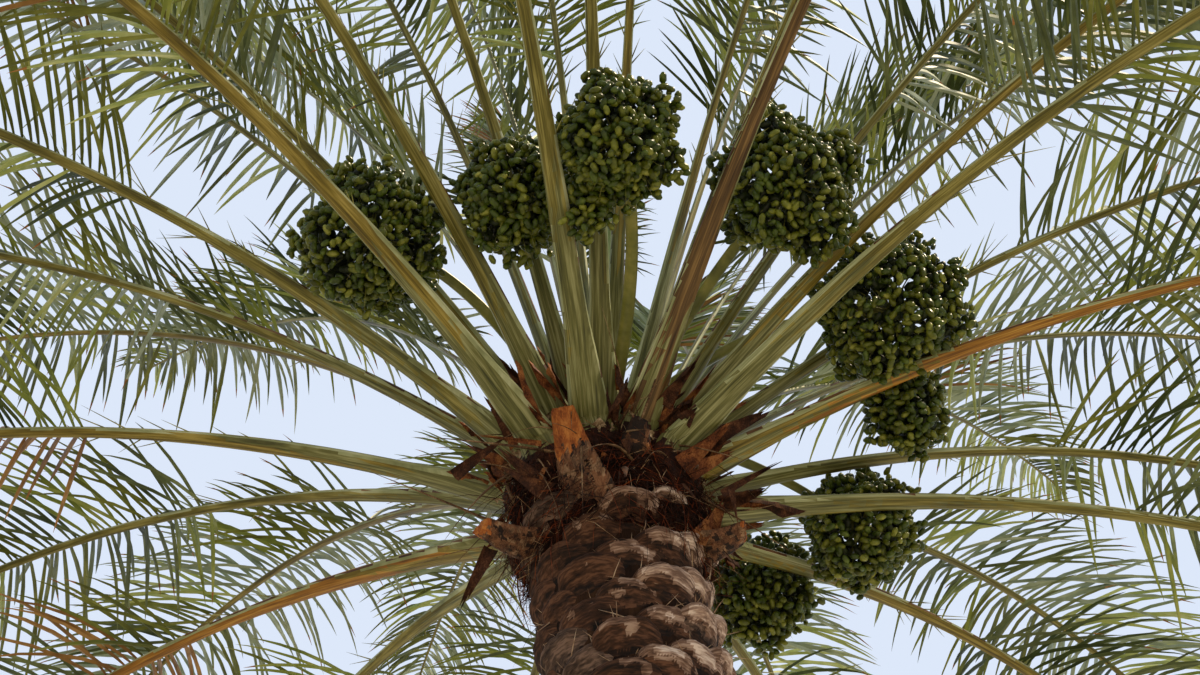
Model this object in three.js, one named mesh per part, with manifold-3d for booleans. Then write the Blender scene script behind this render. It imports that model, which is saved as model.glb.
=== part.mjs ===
// A date palm in fruit: one trunk clad in the cut bases of old leaves, a fibrous
// crown shaft with pruned leaf stubs, a spiral of feather fronds, and bunches of
// unripe dates. Millimetres, +Z up, origin at the middle of the flat cut under the
// trunk. Bearings are degrees from +Y turning towards +X. Heights in the crown are
// measured from the lowest frond.
import * as THREE from "three";
import { mergeVertices } from "three/addons/utils/BufferGeometryUtils.js";
import Module from "manifold-3d";

const wasm = await Module();
wasm.setup();

// Trunk
const TRUNK_HEIGHT = 5050;
const TRUNK_LEAN = 420;
const FOOT_RADIUS = 350;
const FLARE_HEIGHT = 380;
const WAIST_RADIUS = 236;
const TOP_RADIUS = 200;
const BOOT_ROWS = 40;
const BOOT_SIDES = 14;
const BOOT_LIP = 22;
const BOOT_NOTCH = 0.35;
const BOOT_FILL = 0.82;

// Crown shaft, the bulb that carries the fronds
const SHAFT_BELOW = 240;
const SHAFT_BULGE = 268;
const SHAFT_SHOULDER = 255;
const SHAFT_RISE = 250;
const SHAFT_WAISTS = [0, 0.4, 0.8, 1];
const SHAFT_AGES = [0.25, 0.5, 0.75, 0.9, 1];
const SHAFT_FULLNESS = 0.6;
const SHAFT_FOOT_RADIUS = 235;
const SHAFT_TIP_RADIUS = 45;
const SHAFT_SIDES = 20;
const SEAT_GAP = 0.3;
const CROWN_HEIGHT = TRUNK_HEIGHT + SHAFT_BELOW + SEAT_GAP;

// Stubs of the pruned leaves under the lowest fronds: length, lift, drop below the lowest
// frond, and swing of the tip away from the bearing that the spiral gives the foot
const STUBS = [[70, 30, 33, 0], [110, 20, 66, 0], [110, 0, 180, 0], [90, 5, 185, 0], [120, 20, 165, 0],
  [215, 58, 198, 22]];
const STUB_INSET = 60;
const STUB_HALF_WIDTHS = [56, 30];
const STUB_HALF_DEPTHS = [26, 16];

// Fronds, numbered in the order in which they grew
const FROND_COUNT = 45;
const FIRST_BEARING = 304.4;
const SPIRAL_TURN = 138;
const LOWEST_LIFT = 17.7;
const STEEPEST_LIFT = 80;
const LIFT_POWER = 1.28;
const FROND_LENGTH = 3900;
const FROND_DROOP = 94;
const DROOP_POWER = 1.3;
const YOUNG_LENGTH = 0.86;
const YOUNG_WIDTH = 0.5;
const PETIOLE_LENGTH = 1150;
const PETIOLE_INSET = 45;
const RIB_STEP = 50;
const RIB_WIDTHS = [[0, 108], [280, 62], [1000, 36], [FROND_LENGTH, 8]];
const RIB_DEPTHS = [[0, 44], [280, 34], [1000, 24], [FROND_LENGTH, 6]];

// Leaflets, each standing for a spray of narrower ones
const LEAFLET_PAIRS = 16;
const LEAFLET_LENGTH = 520;
const LEAFLET_SWELL = [0.18, 0.92];
const LEAFLET_FULLNESS = 0.7;
const LEAFLET_SHORTEST = 90;
const LEAFLET_SHORTENING = 0.82;
const LEAFLET_SWEEP = [62, 26];
const LEAFLET_RISE = 20;
const SPACE_MARGIN = 50;

// Spear of unopened leaves at the middle of the crown
const SPEAR_HEIGHT = 1700;
const SPEAR_RADIUS = 32;
const SPEAR_TAPER = 0.8;
const SPEAR_STEP = 100;

// Bunches of dates, by their middles. A stalk leaves the shaft a swing round from its
// bunch, and passes between the petioles with an arch upwards and a bend sideways.
const BUNCHES = [
  { bearing: 231, distance: 760, height: 400, radius: 198, stalk: [0, 120, 300, 0] },
  { bearing: 201, distance: 670, height: 400, radius: 160, stalk: [6, 240, 300, -50] },
  { bearing: 180, distance: 840, height: 345, radius: 165, stalk: [15, 120, 220, -100] },
  { bearing: 147, distance: 760, height: 470, radius: 195, stalk: [15, 160, 260, -50] },
  { bearing: 113, distance: 755, height: 420, radius: 205, stalk: [30, 240, 300, -50] },
  { bearing: 69, distance: 710, height: 200, radius: 165, stalk: [-3, 240, 300, -100] },
  { bearing: 39, distance: 680, height: 220, radius: 160, stalk: [24, 120, 220, -50] },
];
const BUNCH_STRETCH = 1.1;
const BALL_DETAIL = 2;
const BUNCH_LUMP = 6;
const BUNCH_LUMP_SPACING = [33, 29, 31];
const STALK_WIDTHS = [40, 26];
const STALK_DEPTHS = [18, 14];
const STALK_FOOT_DISTANCE = 60;
const STALK_LEVELS = 10;

const looks = (name, color, roughness) =>
  new THREE.MeshStandardMaterial({ name, color, roughness, metalness: 0 });
const BARK = looks("bark", 0x5b4a42, 0.95);
const FIBRE = looks("fibre", 0x6a452f, 0.95);
const FROND = looks("frond", 0x6f7f4c, 0.6);
const DATE = looks("date", 0x55682c, 0.45);

const UP = new THREE.Vector3(0, 0, 1);
const at = (x, y, z) => new THREE.Vector3(x, y, z);
const mix = THREE.MathUtils.lerp;
const radians = THREE.MathUtils.degToRad;

// A point of the crown at a distance from its axis
function around(bearing, distance, height) {
  const angle = radians(bearing);
  return at(distance * Math.sin(angle), distance * Math.cos(angle), height);
}

// A point moved by [direction, length] pairs
function moved(point, ...moves) {
  return moves.reduce((sum, [way, length]) => sum.addScaledVector(way, length), point.clone());
}

// The value at a distance along a rising list of [distance, value] steps
function stepped(steps, distance) {
  const next = steps.findIndex(([start]) => start > distance);
  if (next < 0) return steps.at(-1)[1];
  if (next === 0) return steps[0][1];
  const [start, low] = steps[next - 1];
  const [end, high] = steps[next];
  return mix(low, high, (distance - start) / (end - start));
}

// A closed geometry with its equal corners joined, and only its positions kept
function welded(geometry) {
  geometry.deleteAttribute("normal");
  geometry.deleteAttribute("uv");
  return mergeVertices(geometry, 0.001);
}

// A cylinder whose skin goes where place(level, turn, out) says: level counts up
// from its foot, and out is 0 at the middle of an end and 1 on the skin
function shapedCylinder(sides, levels, place) {
  const geometry = welded(new THREE.CylinderGeometry(1, 1, levels, sides, levels));
  geometry.rotateX(Math.PI / 2);
  const corners = geometry.attributes.position;
  for (let i = 0; i < corners.count; i += 1) {
    const level = Math.round(corners.getZ(i) + levels / 2);
    const out = Math.round(Math.hypot(corners.getX(i), corners.getY(i)));
    const turn = Math.atan2(corners.getY(i), corners.getX(i));
    corners.setXYZ(i, ...place(level, turn, out).toArray());
  }
  return geometry;
}

function geometryOf(points, faces) {
  const geometry = new THREE.BufferGeometry();
  geometry.setAttribute("position", new THREE.Float32BufferAttribute(points, 3));
  geometry.setIndex(faces);
  return geometry;
}

function solidFrom(geometry) {
  const vertProperties = new Float32Array(geometry.attributes.position.array);
  const triVerts = new Uint32Array(geometry.index.array);
  return new wasm.Manifold(new wasm.Mesh({ numProp: 3, vertProperties, triVerts }));
}

// The geometry of a solid's largest piece, without the scraps that a cut leaves
function largestPiece(solid) {
  const pieces = solid.decompose().sort((a, b) => b.volume() - a.volume());
  const { vertProperties, triVerts } = pieces[0].getMesh();
  return geometryOf(Array.from(vertProperties), Array.from(triVerts));
}

function part(name, geometry, look) {
  const mesh = new THREE.Mesh(geometry, look);
  mesh.name = name;
  return mesh;
}

// The trunk's middle line stands upright at the ground and leans to -X above, as far as
// the crown
function trunkPoint(height) {
  return at(-TRUNK_LEAN * (height / CROWN_HEIGHT) ** 2, 0, height);
}

function trunkRadius(height) {
  const flare = (FOOT_RADIUS - WAIST_RADIUS) * Math.exp(-height / FLARE_HEIGHT);
  return mix(WAIST_RADIUS, TOP_RADIUS, height / TRUNK_HEIGHT) + flare;
}

// Rows of leaf bases, each row set half a base round from the last, with a lip at
// its upper edge that draws in between two bases
function trunk() {
  const rowHeight = TRUNK_HEIGHT / BOOT_ROWS;
  const halfBoot = Math.PI / BOOT_SIDES;
  const top = 2 * BOOT_ROWS - 1;
  return shapedCylinder(BOOT_SIDES, top, (level, turn, out) => {
    const row = Math.floor(level / 2);
    const lip = level % 2;
    const height = level === top ? TRUNK_HEIGHT : (row + lip * BOOT_FILL) * rowHeight;
    const between = Math.round(turn / (2 * halfBoot)) % 2 !== 0;
    const stand = lip * BOOT_LIP * (between ? BOOT_NOTCH : 1);
    const radius = out * (trunkRadius(height) + (level === top ? 0 : stand));
    const angle = turn + row * halfBoot;
    return trunkPoint(height).add(at(radius * Math.cos(angle), radius * Math.sin(angle), 0));
  });
}

// The crown shaft's radius from the oldest frond, at age 0, to the youngest, at 1
function shaftRadius(age) {
  return mix(SHAFT_TIP_RADIUS, SHAFT_FOOT_RADIUS, (1 - age) ** SHAFT_FULLNESS);
}

// The crown shaft's radius under its lowest frond
function bulbRadius(height) {
  const radii = [SHAFT_FOOT_RADIUS, SHAFT_BULGE, SHAFT_SHOULDER, TOP_RADIUS];
  return stepped(SHAFT_WAISTS.map((share, i) => [share * SHAFT_BELOW, radii[i]]), -height);
}

// A pruned leaf's base: a tapering wedge that stands out of the bulb and ends in a cut
function stub(number, [cut, lifted, drop, swing], grow) {
  const bearing = FIRST_BEARING - number * SPIRAL_TURN;
  const outward = around(bearing + swing, 1, 0);
  const side = outward.clone().cross(UP);
  const lift = radians(lifted);
  const axis = moved(at(0, 0, 0), [outward, Math.cos(lift)], [UP, Math.sin(lift)]);
  const under = axis.clone().cross(side);
  const foot = around(bearing, bulbRadius(-drop) - STUB_INSET, -drop - STUB_INSET / 3);
  const length = cut + STUB_INSET + 2 * grow;
  return shapedCylinder(8, 2, (level, turn, out) => {
    const share = level / 2;
    const halfWidth = out * (mix(...STUB_HALF_WIDTHS, share) + grow);
    const halfDepth = out * (mix(...STUB_HALF_DEPTHS, share) + grow);
    return moved(foot, [axis, share * length - grow],
      [side, halfWidth * Math.cos(turn)], [under, halfDepth * Math.sin(turn)]);
  });
}

// A geometry of the crown leaned below the lowest frond, to meet the trunk's top
function leaned(geometry) {
  const shift = trunkPoint(TRUNK_HEIGHT).x - trunkPoint(CROWN_HEIGHT).x;
  const corners = geometry.attributes.position;
  for (let i = 0; i < corners.count; i += 1) {
    const below = Math.max(-corners.getZ(i), 0) / (SHAFT_BELOW + SEAT_GAP);
    corners.setX(i, corners.getX(i) + below * shift);
  }
  return geometry;
}

// The crown shaft and its stubs as one solid, larger all round by grow
function crownShaft(grow) {
  const profile = [[0, -SHAFT_BELOW - grow]];
  for (const share of SHAFT_WAISTS.toReversed()) {
    const height = -share * SHAFT_BELOW;
    profile.push([bulbRadius(height) + grow, height - share * grow]);
  }
  for (const age of SHAFT_AGES) {
    profile.push([shaftRadius(age) + grow, age * (SHAFT_RISE + grow)]);
  }
  profile.push([0, SHAFT_RISE + grow]);
  const outline = profile.map(([radius, height]) => new THREE.Vector2(radius, height));
  const bulb = new THREE.LatheGeometry(outline, SHAFT_SIDES);
  bulb.rotateX(Math.PI / 2);
  const stubs = STUBS.map((size, index) => stub(index + 1, size, grow));
  return wasm.Manifold.union([welded(bulb), ...stubs].map((piece) => solidFrom(leaned(piece))));
}

// How one frond grows: the line of its rib, the directions beside it, and its slope
// in radians at a way along it
function frondPlan(number) {
  const age = number / (FROND_COUNT - 1);
  const bearing = FIRST_BEARING + number * SPIRAL_TURN;
  const lift = radians(mix(LOWEST_LIFT, STEEPEST_LIFT, age ** LIFT_POWER));
  const length = FROND_LENGTH * mix(1, YOUNG_LENGTH, age);
  const droop = radians(FROND_DROOP) * Math.cos(lift);
  const slope = (way) => lift - droop * (Math.max(way, 0) / length) ** DROOP_POWER;
  const outward = around(bearing, 1, 0);
  const side = outward.clone().cross(UP);
  const rib = [around(bearing, shaftRadius(age), age * SHAFT_RISE)];
  for (let way = 0; way < length; way += RIB_STEP) {
    const angle = slope(way + RIB_STEP / 2);
    rib.push(moved(rib.at(-1), [outward, RIB_STEP * Math.cos(angle)], [UP, RIB_STEP * Math.sin(angle)]));
  }
  return { number, length, outward, side, slope, rib, size: mix(1, YOUNG_WIDTH, age) };
}

// The middle of a frond's rib, its direction and its upper side, at a way along it
function ribPlace(frond, way) {
  const angle = frond.slope(way);
  const ahead = moved(at(0, 0, 0), [frond.outward, Math.cos(angle)], [UP, Math.sin(angle)]);
  const over = frond.side.clone().cross(ahead);
  const step = Math.max(Math.floor(way / RIB_STEP), 0);
  return { middle: moved(frond.rib[step], [ahead, way - step * RIB_STEP]), ahead, over };
}

function distanceToRib(point, frond) {
  return Math.min(...frond.rib.map((place) => place.distanceTo(point)));
}

// Whether a leaflet's tip stays in its own frond's space: nearer that frond's rib than
// any other, and clear of the dates
function inOwnSpace(tip, frond) {
  const own = distanceToRib(tip, frond);
  const clearOfDates = bunches.every(({ middle, radius }) =>
    middle.distanceTo(tip) > radius * BUNCH_STRETCH + SPACE_MARGIN);
  return clearOfDates && [...fronds, spear].every((other) =>
    other === frond || distanceToRib(tip, other) > own + SPACE_MARGIN);
}

// The tip of a leaflet at a way along a frond, on its left hand, 1, or its right, -1,
// or null where none fits
function leafletTip(frond, way, hand) {
  const { middle, ahead, over } = ribPlace(frond, way);
  const share = (way - PETIOLE_LENGTH) / (frond.length - PETIOLE_LENGTH);
  const sweep = radians(mix(...LEAFLET_SWEEP, share));
  const rise = radians(LEAFLET_RISE);
  const outward = moved(at(0, 0, 0), [frond.side, hand * Math.cos(rise)], [over, Math.sin(rise)]);
  const direction = moved(at(0, 0, 0), [ahead, Math.cos(sweep)], [outward, Math.sin(sweep)]);
  let length = LEAFLET_LENGTH * Math.sin(Math.PI * mix(...LEAFLET_SWELL, share)) ** LEAFLET_FULLNESS;
  while (length > LEAFLET_SHORTEST) {
    const tip = moved(middle, [direction, length]);
    if (inOwnSpace(tip, frond)) return tip;
    length *= LEAFLET_SHORTENING;
  }
  return null;
}

// The four corners of a rib's section at a way along it: over, left, under and right
function ribCorners(frond, way, grow) {
  const { middle, over } = ribPlace(frond, way);
  const halfWidth = (frond.size * stepped(RIB_WIDTHS, way)) / 2 + grow;
  const halfDepth = (frond.size * stepped(RIB_DEPTHS, way)) / 2 + grow;
  return [[over, halfDepth], [frond.side, halfWidth], [over, -halfDepth], [frond.side, -halfWidth]]
    .map((move) => moved(middle, move));
}

// A closed rib through some ways along a frond. tips(stretch) gives the tips of the
// leaflets on the left and right of a stretch between two ways, null for a bare edge.
function ribBody(frond, ways, grow, tips) {
  const points = ways.flatMap((way) => ribCorners(frond, way, grow));
  const end = points.length - 4;
  const faces = [0, 2, 1, 0, 3, 2, end, end + 1, end + 2, end, end + 2, end + 3];
  for (let stretch = 0; stretch < ways.length - 1; stretch += 1) {
    const [over, left, under, right] = [0, 1, 2, 3].map((corner) => 4 * stretch + corner);
    const [leftTip, rightTip] = tips(stretch);
    for (const [a, edge, b, tip] of [[over, left, under, leftTip], [under, right, over, rightTip]]) {
      if (tip) {
        const point = points.push(tip) - 1;
        faces.push(a, edge, point, a, point, a + 4, a + 4, point, edge + 4);
        faces.push(edge, b, point, point, b, b + 4, point, b + 4, edge + 4);
      } else {
        faces.push(a, edge, edge + 4, a, edge + 4, a + 4);
        faces.push(edge, b, b + 4, edge, b + 4, edge + 4);
      }
    }
  }
  return solidFrom(geometryOf(points.flatMap((point) => point.toArray()), faces));
}

const BARE = () => [null, null];
const PETIOLE_WAYS = [-PETIOLE_INSET, 140, 420, 800, PETIOLE_LENGTH];

// A frond's bare petiole, grown a little for its neighbours to be cut clear of it
function petiole(frond) {
  return ribBody(frond, PETIOLE_WAYS, SEAT_GAP, BARE);
}

// A whole frond: its petiole, then a leaflet on each side of every stretch of its rib
function frondBody(frond) {
  const stretch = (frond.length - PETIOLE_LENGTH) / LEAFLET_PAIRS;
  const pairs = Array.from({ length: LEAFLET_PAIRS }, (_, pair) => pair);
  const ways = [...PETIOLE_WAYS, ...pairs.map((pair) => PETIOLE_LENGTH + (pair + 1) * stretch)];
  return ribBody(frond, ways, 0, (index) => {
    const pair = index - (PETIOLE_WAYS.length - 1);
    if (pair < 0) return BARE();
    const way = PETIOLE_LENGTH + (pair + 0.5) * stretch;
    return [1, -1].map((hand) => leafletTip(frond, way, hand));
  });
}

// The spear's middle line, which leaflets keep clear of as of a rib
const spear = { rib: Array.from({ length: SPEAR_HEIGHT / SPEAR_STEP + 1 },
  (_, step) => at(0, 0, SHAFT_RISE + step * SPEAR_STEP)) };

function spearBody(grow) {
  return shapedCylinder(8, 4, (level, turn, out) => {
    const share = level / 4;
    const radius = out * (SPEAR_RADIUS * (1 - SPEAR_TAPER * share ** 2) + grow);
    const height = SHAFT_RISE + SEAT_GAP + share * SPEAR_HEIGHT + (share ? grow : -grow);
    return at(radius * Math.cos(turn), radius * Math.sin(turn), height);
  });
}

// The middle line of a bunch's stalk, from inside the shaft to the middle of its dates
function stalkRoute({ bearing, middle, stalk: [swing, height, arch, sideways] }) {
  const foot = around(bearing + swing, STALK_FOOT_DISTANCE, height);
  const bend = foot.clone().lerp(middle, 0.5).add(around(bearing + 90, sideways, arch));
  return new THREE.QuadraticBezierCurve3(foot, bend, middle);
}

function stalk(bunch) {
  const route = stalkRoute(bunch);
  return shapedCylinder(8, STALK_LEVELS, (level, turn, out) => {
    const share = level / STALK_LEVELS;
    const ahead = route.getTangent(share);
    const side = ahead.clone().cross(UP).normalize();
    const under = ahead.clone().cross(side);
    const halfWidth = (out * mix(...STALK_WIDTHS, share)) / 2;
    const halfDepth = (out * mix(...STALK_DEPTHS, share)) / 2;
    return moved(route.getPoint(share), [side, halfWidth * Math.cos(turn)],
      [under, halfDepth * Math.sin(turn)]);
  });
}

// The packed dates of a bunch as one lumpy ball, a little taller than wide
function ball({ middle, radius }, grow) {
  const geometry = welded(new THREE.IcosahedronGeometry(radius, BALL_DETAIL));
  const corners = geometry.attributes.position;
  for (let i = 0; i < corners.count; i += 1) {
    const corner = new THREE.Vector3().fromBufferAttribute(corners, i);
    const lumps = BUNCH_LUMP_SPACING.reduce((sum, spacing, axis) =>
      sum + Math.sin(corner.getComponent(axis) / spacing + axis), 0);
    corner.setLength(radius + BUNCH_LUMP * lumps + grow);
    corner.z *= BUNCH_STRETCH;
    corners.setXYZ(i, ...corner.add(middle).toArray());
  }
  return geometry;
}

const bunches = BUNCHES.map((bunch) => ({
  ...bunch,
  middle: around(bunch.bearing, bunch.distance, bunch.height),
}));
const fronds = Array.from({ length: FROND_COUNT }, (_, number) => frondPlan(number));
const petioles = fronds.map(petiole);
const shaft = crownShaft(0);
const clearOfShaft = wasm.Manifold.union([crownShaft(SEAT_GAP), solidFrom(spearBody(SEAT_GAP))]);

const crown = new THREE.Group();
crown.position.copy(trunkPoint(CROWN_HEIGHT));
crown.add(part("crown_shaft", largestPiece(shaft), FIBRE));
crown.add(part("spear", spearBody(0), FROND));
for (const frond of fronds) {
  const older = petioles.slice(0, frond.number);
  const solid = wasm.Manifold.difference([frondBody(frond), clearOfShaft, ...older]);
  const name = `frond_${String(frond.number + 1).padStart(2, "0")}`;
  crown.add(part(name, largestPiece(solid), FROND));
}
bunches.forEach((bunch, index) => {
  const whole = solidFrom(ball(bunch, 0)).add(solidFrom(stalk(bunch)));
  const beside = bunches.slice(0, index).map((other) => solidFrom(ball(other, SEAT_GAP)));
  const solid = wasm.Manifold.difference([whole, clearOfShaft, ...petioles, ...beside]);
  crown.add(part(`date_bunch_${index + 1}`, largestPiece(solid), DATE));
});

const palm = new THREE.Group();
palm.add(part("trunk", trunk(), BARK), crown);
export default palm;
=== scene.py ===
# %% [markdown]
# A date palm in fruit, from its foot on the ground to the tip of its spear.
# The construction model gives a trunk, a crown shaft, 45 fronds, seven bunches of dates and
# a young spear as plain solids, in metres. This notebook remakes each of them in the same
# place with the detail of the living plant: cut leaf bases, fibre, ribs, thousands of
# leaflets and thousands of dates. Each kind of thing is worked out as arrays of points and
# joined into one mesh, because one mesh of many leaves is far quicker than many objects.

# %% Load the construction model
import bpy
import numpy as np
from mathutils import Matrix, Vector, noise


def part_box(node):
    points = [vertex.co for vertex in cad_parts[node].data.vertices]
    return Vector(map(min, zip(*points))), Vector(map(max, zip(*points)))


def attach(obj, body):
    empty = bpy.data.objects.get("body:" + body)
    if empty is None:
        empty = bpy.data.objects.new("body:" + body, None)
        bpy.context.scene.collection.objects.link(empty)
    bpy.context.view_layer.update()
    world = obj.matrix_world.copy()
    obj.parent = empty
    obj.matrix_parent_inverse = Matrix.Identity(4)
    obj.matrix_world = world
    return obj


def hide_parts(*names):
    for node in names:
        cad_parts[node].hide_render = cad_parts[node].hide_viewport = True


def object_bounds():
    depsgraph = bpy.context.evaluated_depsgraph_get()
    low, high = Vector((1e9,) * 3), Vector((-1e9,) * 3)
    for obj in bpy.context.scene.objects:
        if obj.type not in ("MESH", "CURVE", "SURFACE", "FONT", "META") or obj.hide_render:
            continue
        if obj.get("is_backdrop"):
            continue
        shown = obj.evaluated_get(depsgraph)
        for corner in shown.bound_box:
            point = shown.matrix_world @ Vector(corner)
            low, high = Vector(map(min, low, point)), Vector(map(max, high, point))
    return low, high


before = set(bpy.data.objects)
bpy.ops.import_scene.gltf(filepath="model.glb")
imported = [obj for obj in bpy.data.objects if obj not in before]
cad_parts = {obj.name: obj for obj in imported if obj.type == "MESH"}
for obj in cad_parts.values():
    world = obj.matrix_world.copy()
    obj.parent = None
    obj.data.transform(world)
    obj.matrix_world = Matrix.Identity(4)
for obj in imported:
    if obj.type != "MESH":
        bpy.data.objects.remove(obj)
cad_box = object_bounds()
FROND_NODES = sorted(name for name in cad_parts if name.startswith("frond_"))
BUNCH_NODES = sorted(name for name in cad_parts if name.startswith("date_bunch_"))
print(len(FROND_NODES), "fronds and", len(BUNCH_NODES), "bunches")
print("the construction reaches from", cad_box[0], "to", cad_box[1])

# %% [markdown]
# Where things are.
# Bearings are degrees from +Y turning towards +X, and heights in the crown count from the
# lowest frond. The trunk's middle line stands upright at the ground and leans to -X above.
# A palm grows one leaf at a time, each turned by the same angle from the last, so one
# spiral rule places fronds, pruned stubs and the old bases down the trunk alike.

# %% The spiral and the crown's place
UP = np.array([0.0, 0.0, 1.0])
TRUNK_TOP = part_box("trunk")[1].z
TRUNK_LEAN = 0.420
SHAFT_BELOW = 0.24
SHAFT_RISE = 0.25
CROWN = np.array([-TRUNK_LEAN, 0.0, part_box("crown_shaft")[0].z + SHAFT_BELOW])
FIRST_BEARING = 304.4
SPIRAL_TURN = 138.0


def mix(low, high, share):
    return low + (high - low) * share


def middle_line(height):
    """The middle of the leaning trunk at heights above the ground, and of the upright crown."""
    bent = np.minimum(height, CROWN[2])
    return np.stack([-TRUNK_LEAN * (bent / CROWN[2]) ** 2, 0 * height, height], -1)


def outward(bearing):
    """The level direction of a bearing, or of an array of bearings."""
    angle = np.radians(bearing)
    return np.stack([np.sin(angle), np.cos(angle), np.zeros_like(angle)], -1)


def around(bearing, distance, height):
    """Points of the crown at a distance from its axis, from numbers or arrays."""
    bearing, distance, height = np.broadcast_arrays(bearing, distance, height)
    return middle_line(CROWN[2] + height) + distance[..., None] * outward(bearing)


def unit(vectors):
    return vectors / np.linalg.norm(vectors, axis=-1, keepdims=True)


def off_trunk(points):
    """The level directions in which points lie from the trunk's middle line."""
    return unit((points - middle_line(points[:, 2])) * (1, 1, 0))


def bowed(start, bend, end, share):
    """Points of the curve from start to end that leans towards bend."""
    return (1 - share) ** 2 * start + 2 * share * (1 - share) * bend + share ** 2 * end


print("the crown stands on", CROWN.round(3))

# %% [markdown]
# Skinning grids of points.
# Almost every piece is a grid of points: a leaflet is a narrow grid, and a rib or a stalk is
# a grid whose columns close into a tube. One function lists the triangles that skin a grid,
# for any number of grids at once, and one more makes the joined mesh and hides the solids
# it stands for.

# %% Grids and tubes


def grid_faces(count, rows, columns, closed=False):
    """Triangles over a count of grids; closed joins each grid's last column to its first."""
    ends = columns if closed else columns - 1
    row, column = np.meshgrid(np.arange(rows - 1), np.arange(ends), indexing="ij")
    near = (row * columns + column).ravel()
    beside = (row * columns + (column + 1) % columns).ravel()
    above = beside + columns
    lower = np.stack([near, beside, above], -1)
    upper = np.stack([near, above, near + columns], -1)
    step = np.arange(count)[:, None, None] * rows * columns
    return (np.concatenate([lower, upper])[None] + step).reshape(-1, 3)


def sheets(grids):
    """Points and triangles of open grids, shaped (sheets, rows, columns, 3)."""
    return grids.reshape(-1, 3), grid_faces(*grids.shape[:3])


def tubes(rings):
    """Points and triangles of tubes with closed ends, shaped (tubes, rings, corners, 3)."""
    count, rows, columns, _ = rings.shape
    middles = rings[:, [0, -1]].mean(2)
    corner = np.arange(columns)
    following = (corner + 1) % columns
    last = (rows - 1) * columns
    foot = np.stack([np.full(columns, rows * columns), following, corner], -1)
    head = np.stack([np.full(columns, rows * columns + 1), last + corner, last + following], -1)
    faces = np.concatenate([grid_faces(1, rows, columns, closed=True), foot, head])
    points = np.concatenate([rings.reshape(count, -1, 3), middles], 1)
    step = np.arange(count)[:, None, None] * points.shape[1]
    return points.reshape(-1, 3), (faces[None] + step).reshape(-1, 3)


def round_outline(corners, flat_top=1.0):
    """Corners of a round section as [side, over] shares, its top half flatter below 1."""
    angle = np.arange(corners) * 2 * np.pi / corners
    over = np.cos(angle)
    return np.stack([np.sin(angle), np.where(over > 0, over * flat_top, over)], -1)


def section_rings(middles, sides, overs, half_widths, half_depths, outline):
    """Rings of a section along lines, from arrays of places and of the directions there."""
    across = half_widths[..., None, None] * outline[:, :1] * sides[..., None, :]
    deep = half_depths[..., None, None] * outline[:, 1:] * overs[..., None, :]
    return middles[..., None, :] + across + deep


# A slanting direction that no piece follows, from which the sides of a section are set
SLANT = UP + 0.3 * outward(40.0)
# A sliver narrows along its length to this share of its width, the more so near its tip
SLIVER_TIP = 0.12
SLIVER_FULLNESS = 1.5


def slivers(starts, aheads, lengths, widths, bends, rings=5):
    """Three-sided tapering threads, each bent by a vector on the way to its tip."""
    share = np.linspace(0, 1, rings)[None, :, None]
    middles = starts[:, None] + aheads[:, None] * lengths[:, None, None] * share
    middles = middles + bends[:, None] * share ** 2
    sides = unit(np.cross(aheads, SLANT))
    overs = np.cross(sides, aheads)
    half = widths[:, None] / 2 * (1 - (1 - SLIVER_TIP) * share[..., 0] ** SLIVER_FULLNESS)
    return tubes(section_rings(middles, sides[:, None], overs[:, None], half, half, round_outline(3)))


# %% Joined meshes and pieces


def joined(parts):
    """One mesh from a list of (points, triangles) parts."""
    offsets = np.cumsum([0] + [len(points) for points, _ in parts[:-1]])
    points = np.concatenate([points for points, _ in parts])
    return points, np.concatenate([faces + offset for (_, faces), offset in zip(parts, offsets)])


def picked(points, faces, chosen):
    """The chosen triangles of a mesh, with only the points that they use."""
    used, corners = np.unique(faces[chosen], return_inverse=True)
    return points[used], corners.reshape(-1, 3)


def add_piece(name, parts, material, nodes, grain=None):
    """One joined mesh from (points, triangles) parts, which stands for some CAD nodes.

    grain can give each point's place across and along the piece, for a lengthwise pattern.
    """
    points, faces = joined(parts)
    mesh = bpy.data.meshes.new(name)
    mesh.vertices.add(len(points))
    mesh.vertices.foreach_set("co", points.astype(np.float32).ravel())
    mesh.loops.add(faces.size)
    mesh.loops.foreach_set("vertex_index", faces.astype(np.int32).ravel())
    mesh.polygons.add(len(faces))
    mesh.polygons.foreach_set("loop_start", np.arange(0, faces.size, 3, dtype=np.int32))
    mesh.polygons.foreach_set("use_smooth", np.ones(len(faces), bool))
    mesh.update(calc_edges=True)
    if grain is not None:
        corners = grain[faces.ravel()].astype(np.float32)
        mesh.uv_layers.new(name="grain").uv.foreach_set("vector", corners.ravel())
    mesh.materials.append(material)
    piece = bpy.data.objects.new(name, mesh)
    bpy.context.scene.collection.objects.link(piece)
    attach(piece, "root")
    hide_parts(*nodes)
    print(f"{name}: {len(faces)} triangles")
    return piece


def lumps(points, size, seed):
    """Smooth noise from -1 to 1 at each point, for lumps of about the given size."""
    flat = points.reshape(-1, 3) / size + seed
    return np.array([noise.noise(Vector(place)) for place in flat]).reshape(points.shape[:-1])


# %% [markdown]
# Colours and materials.
# Screen colours are written as hex, and Blender mixes light in linear numbers, so one
# function turns the first into the second. A living plant has no single colour: each
# material mixes a few near tones by noise, at the size of the real mottling. What has its
# own place, such as the one frond that has turned brown, gets a material of its own
# instead: its triangles are dealt to one tone or another, and each tone is a piece.

# %% Colour and node helpers
MM = 0.001
# Noise seldom leaves the middle of its range, so the tones share only that stretch
RAMP_START = 0.32
RAMP_END = 0.68


def linear(hex_colour):
    """A linear RGBA colour from an sRGB hex string."""
    values = np.array([int(hex_colour[i:i + 2], 16) / 255 for i in (0, 2, 4)])
    bright = ((values + 0.055) / 1.055) ** 2.4
    return (*np.where(values <= 0.04045, values / 12.92, bright), 1.0)


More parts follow.
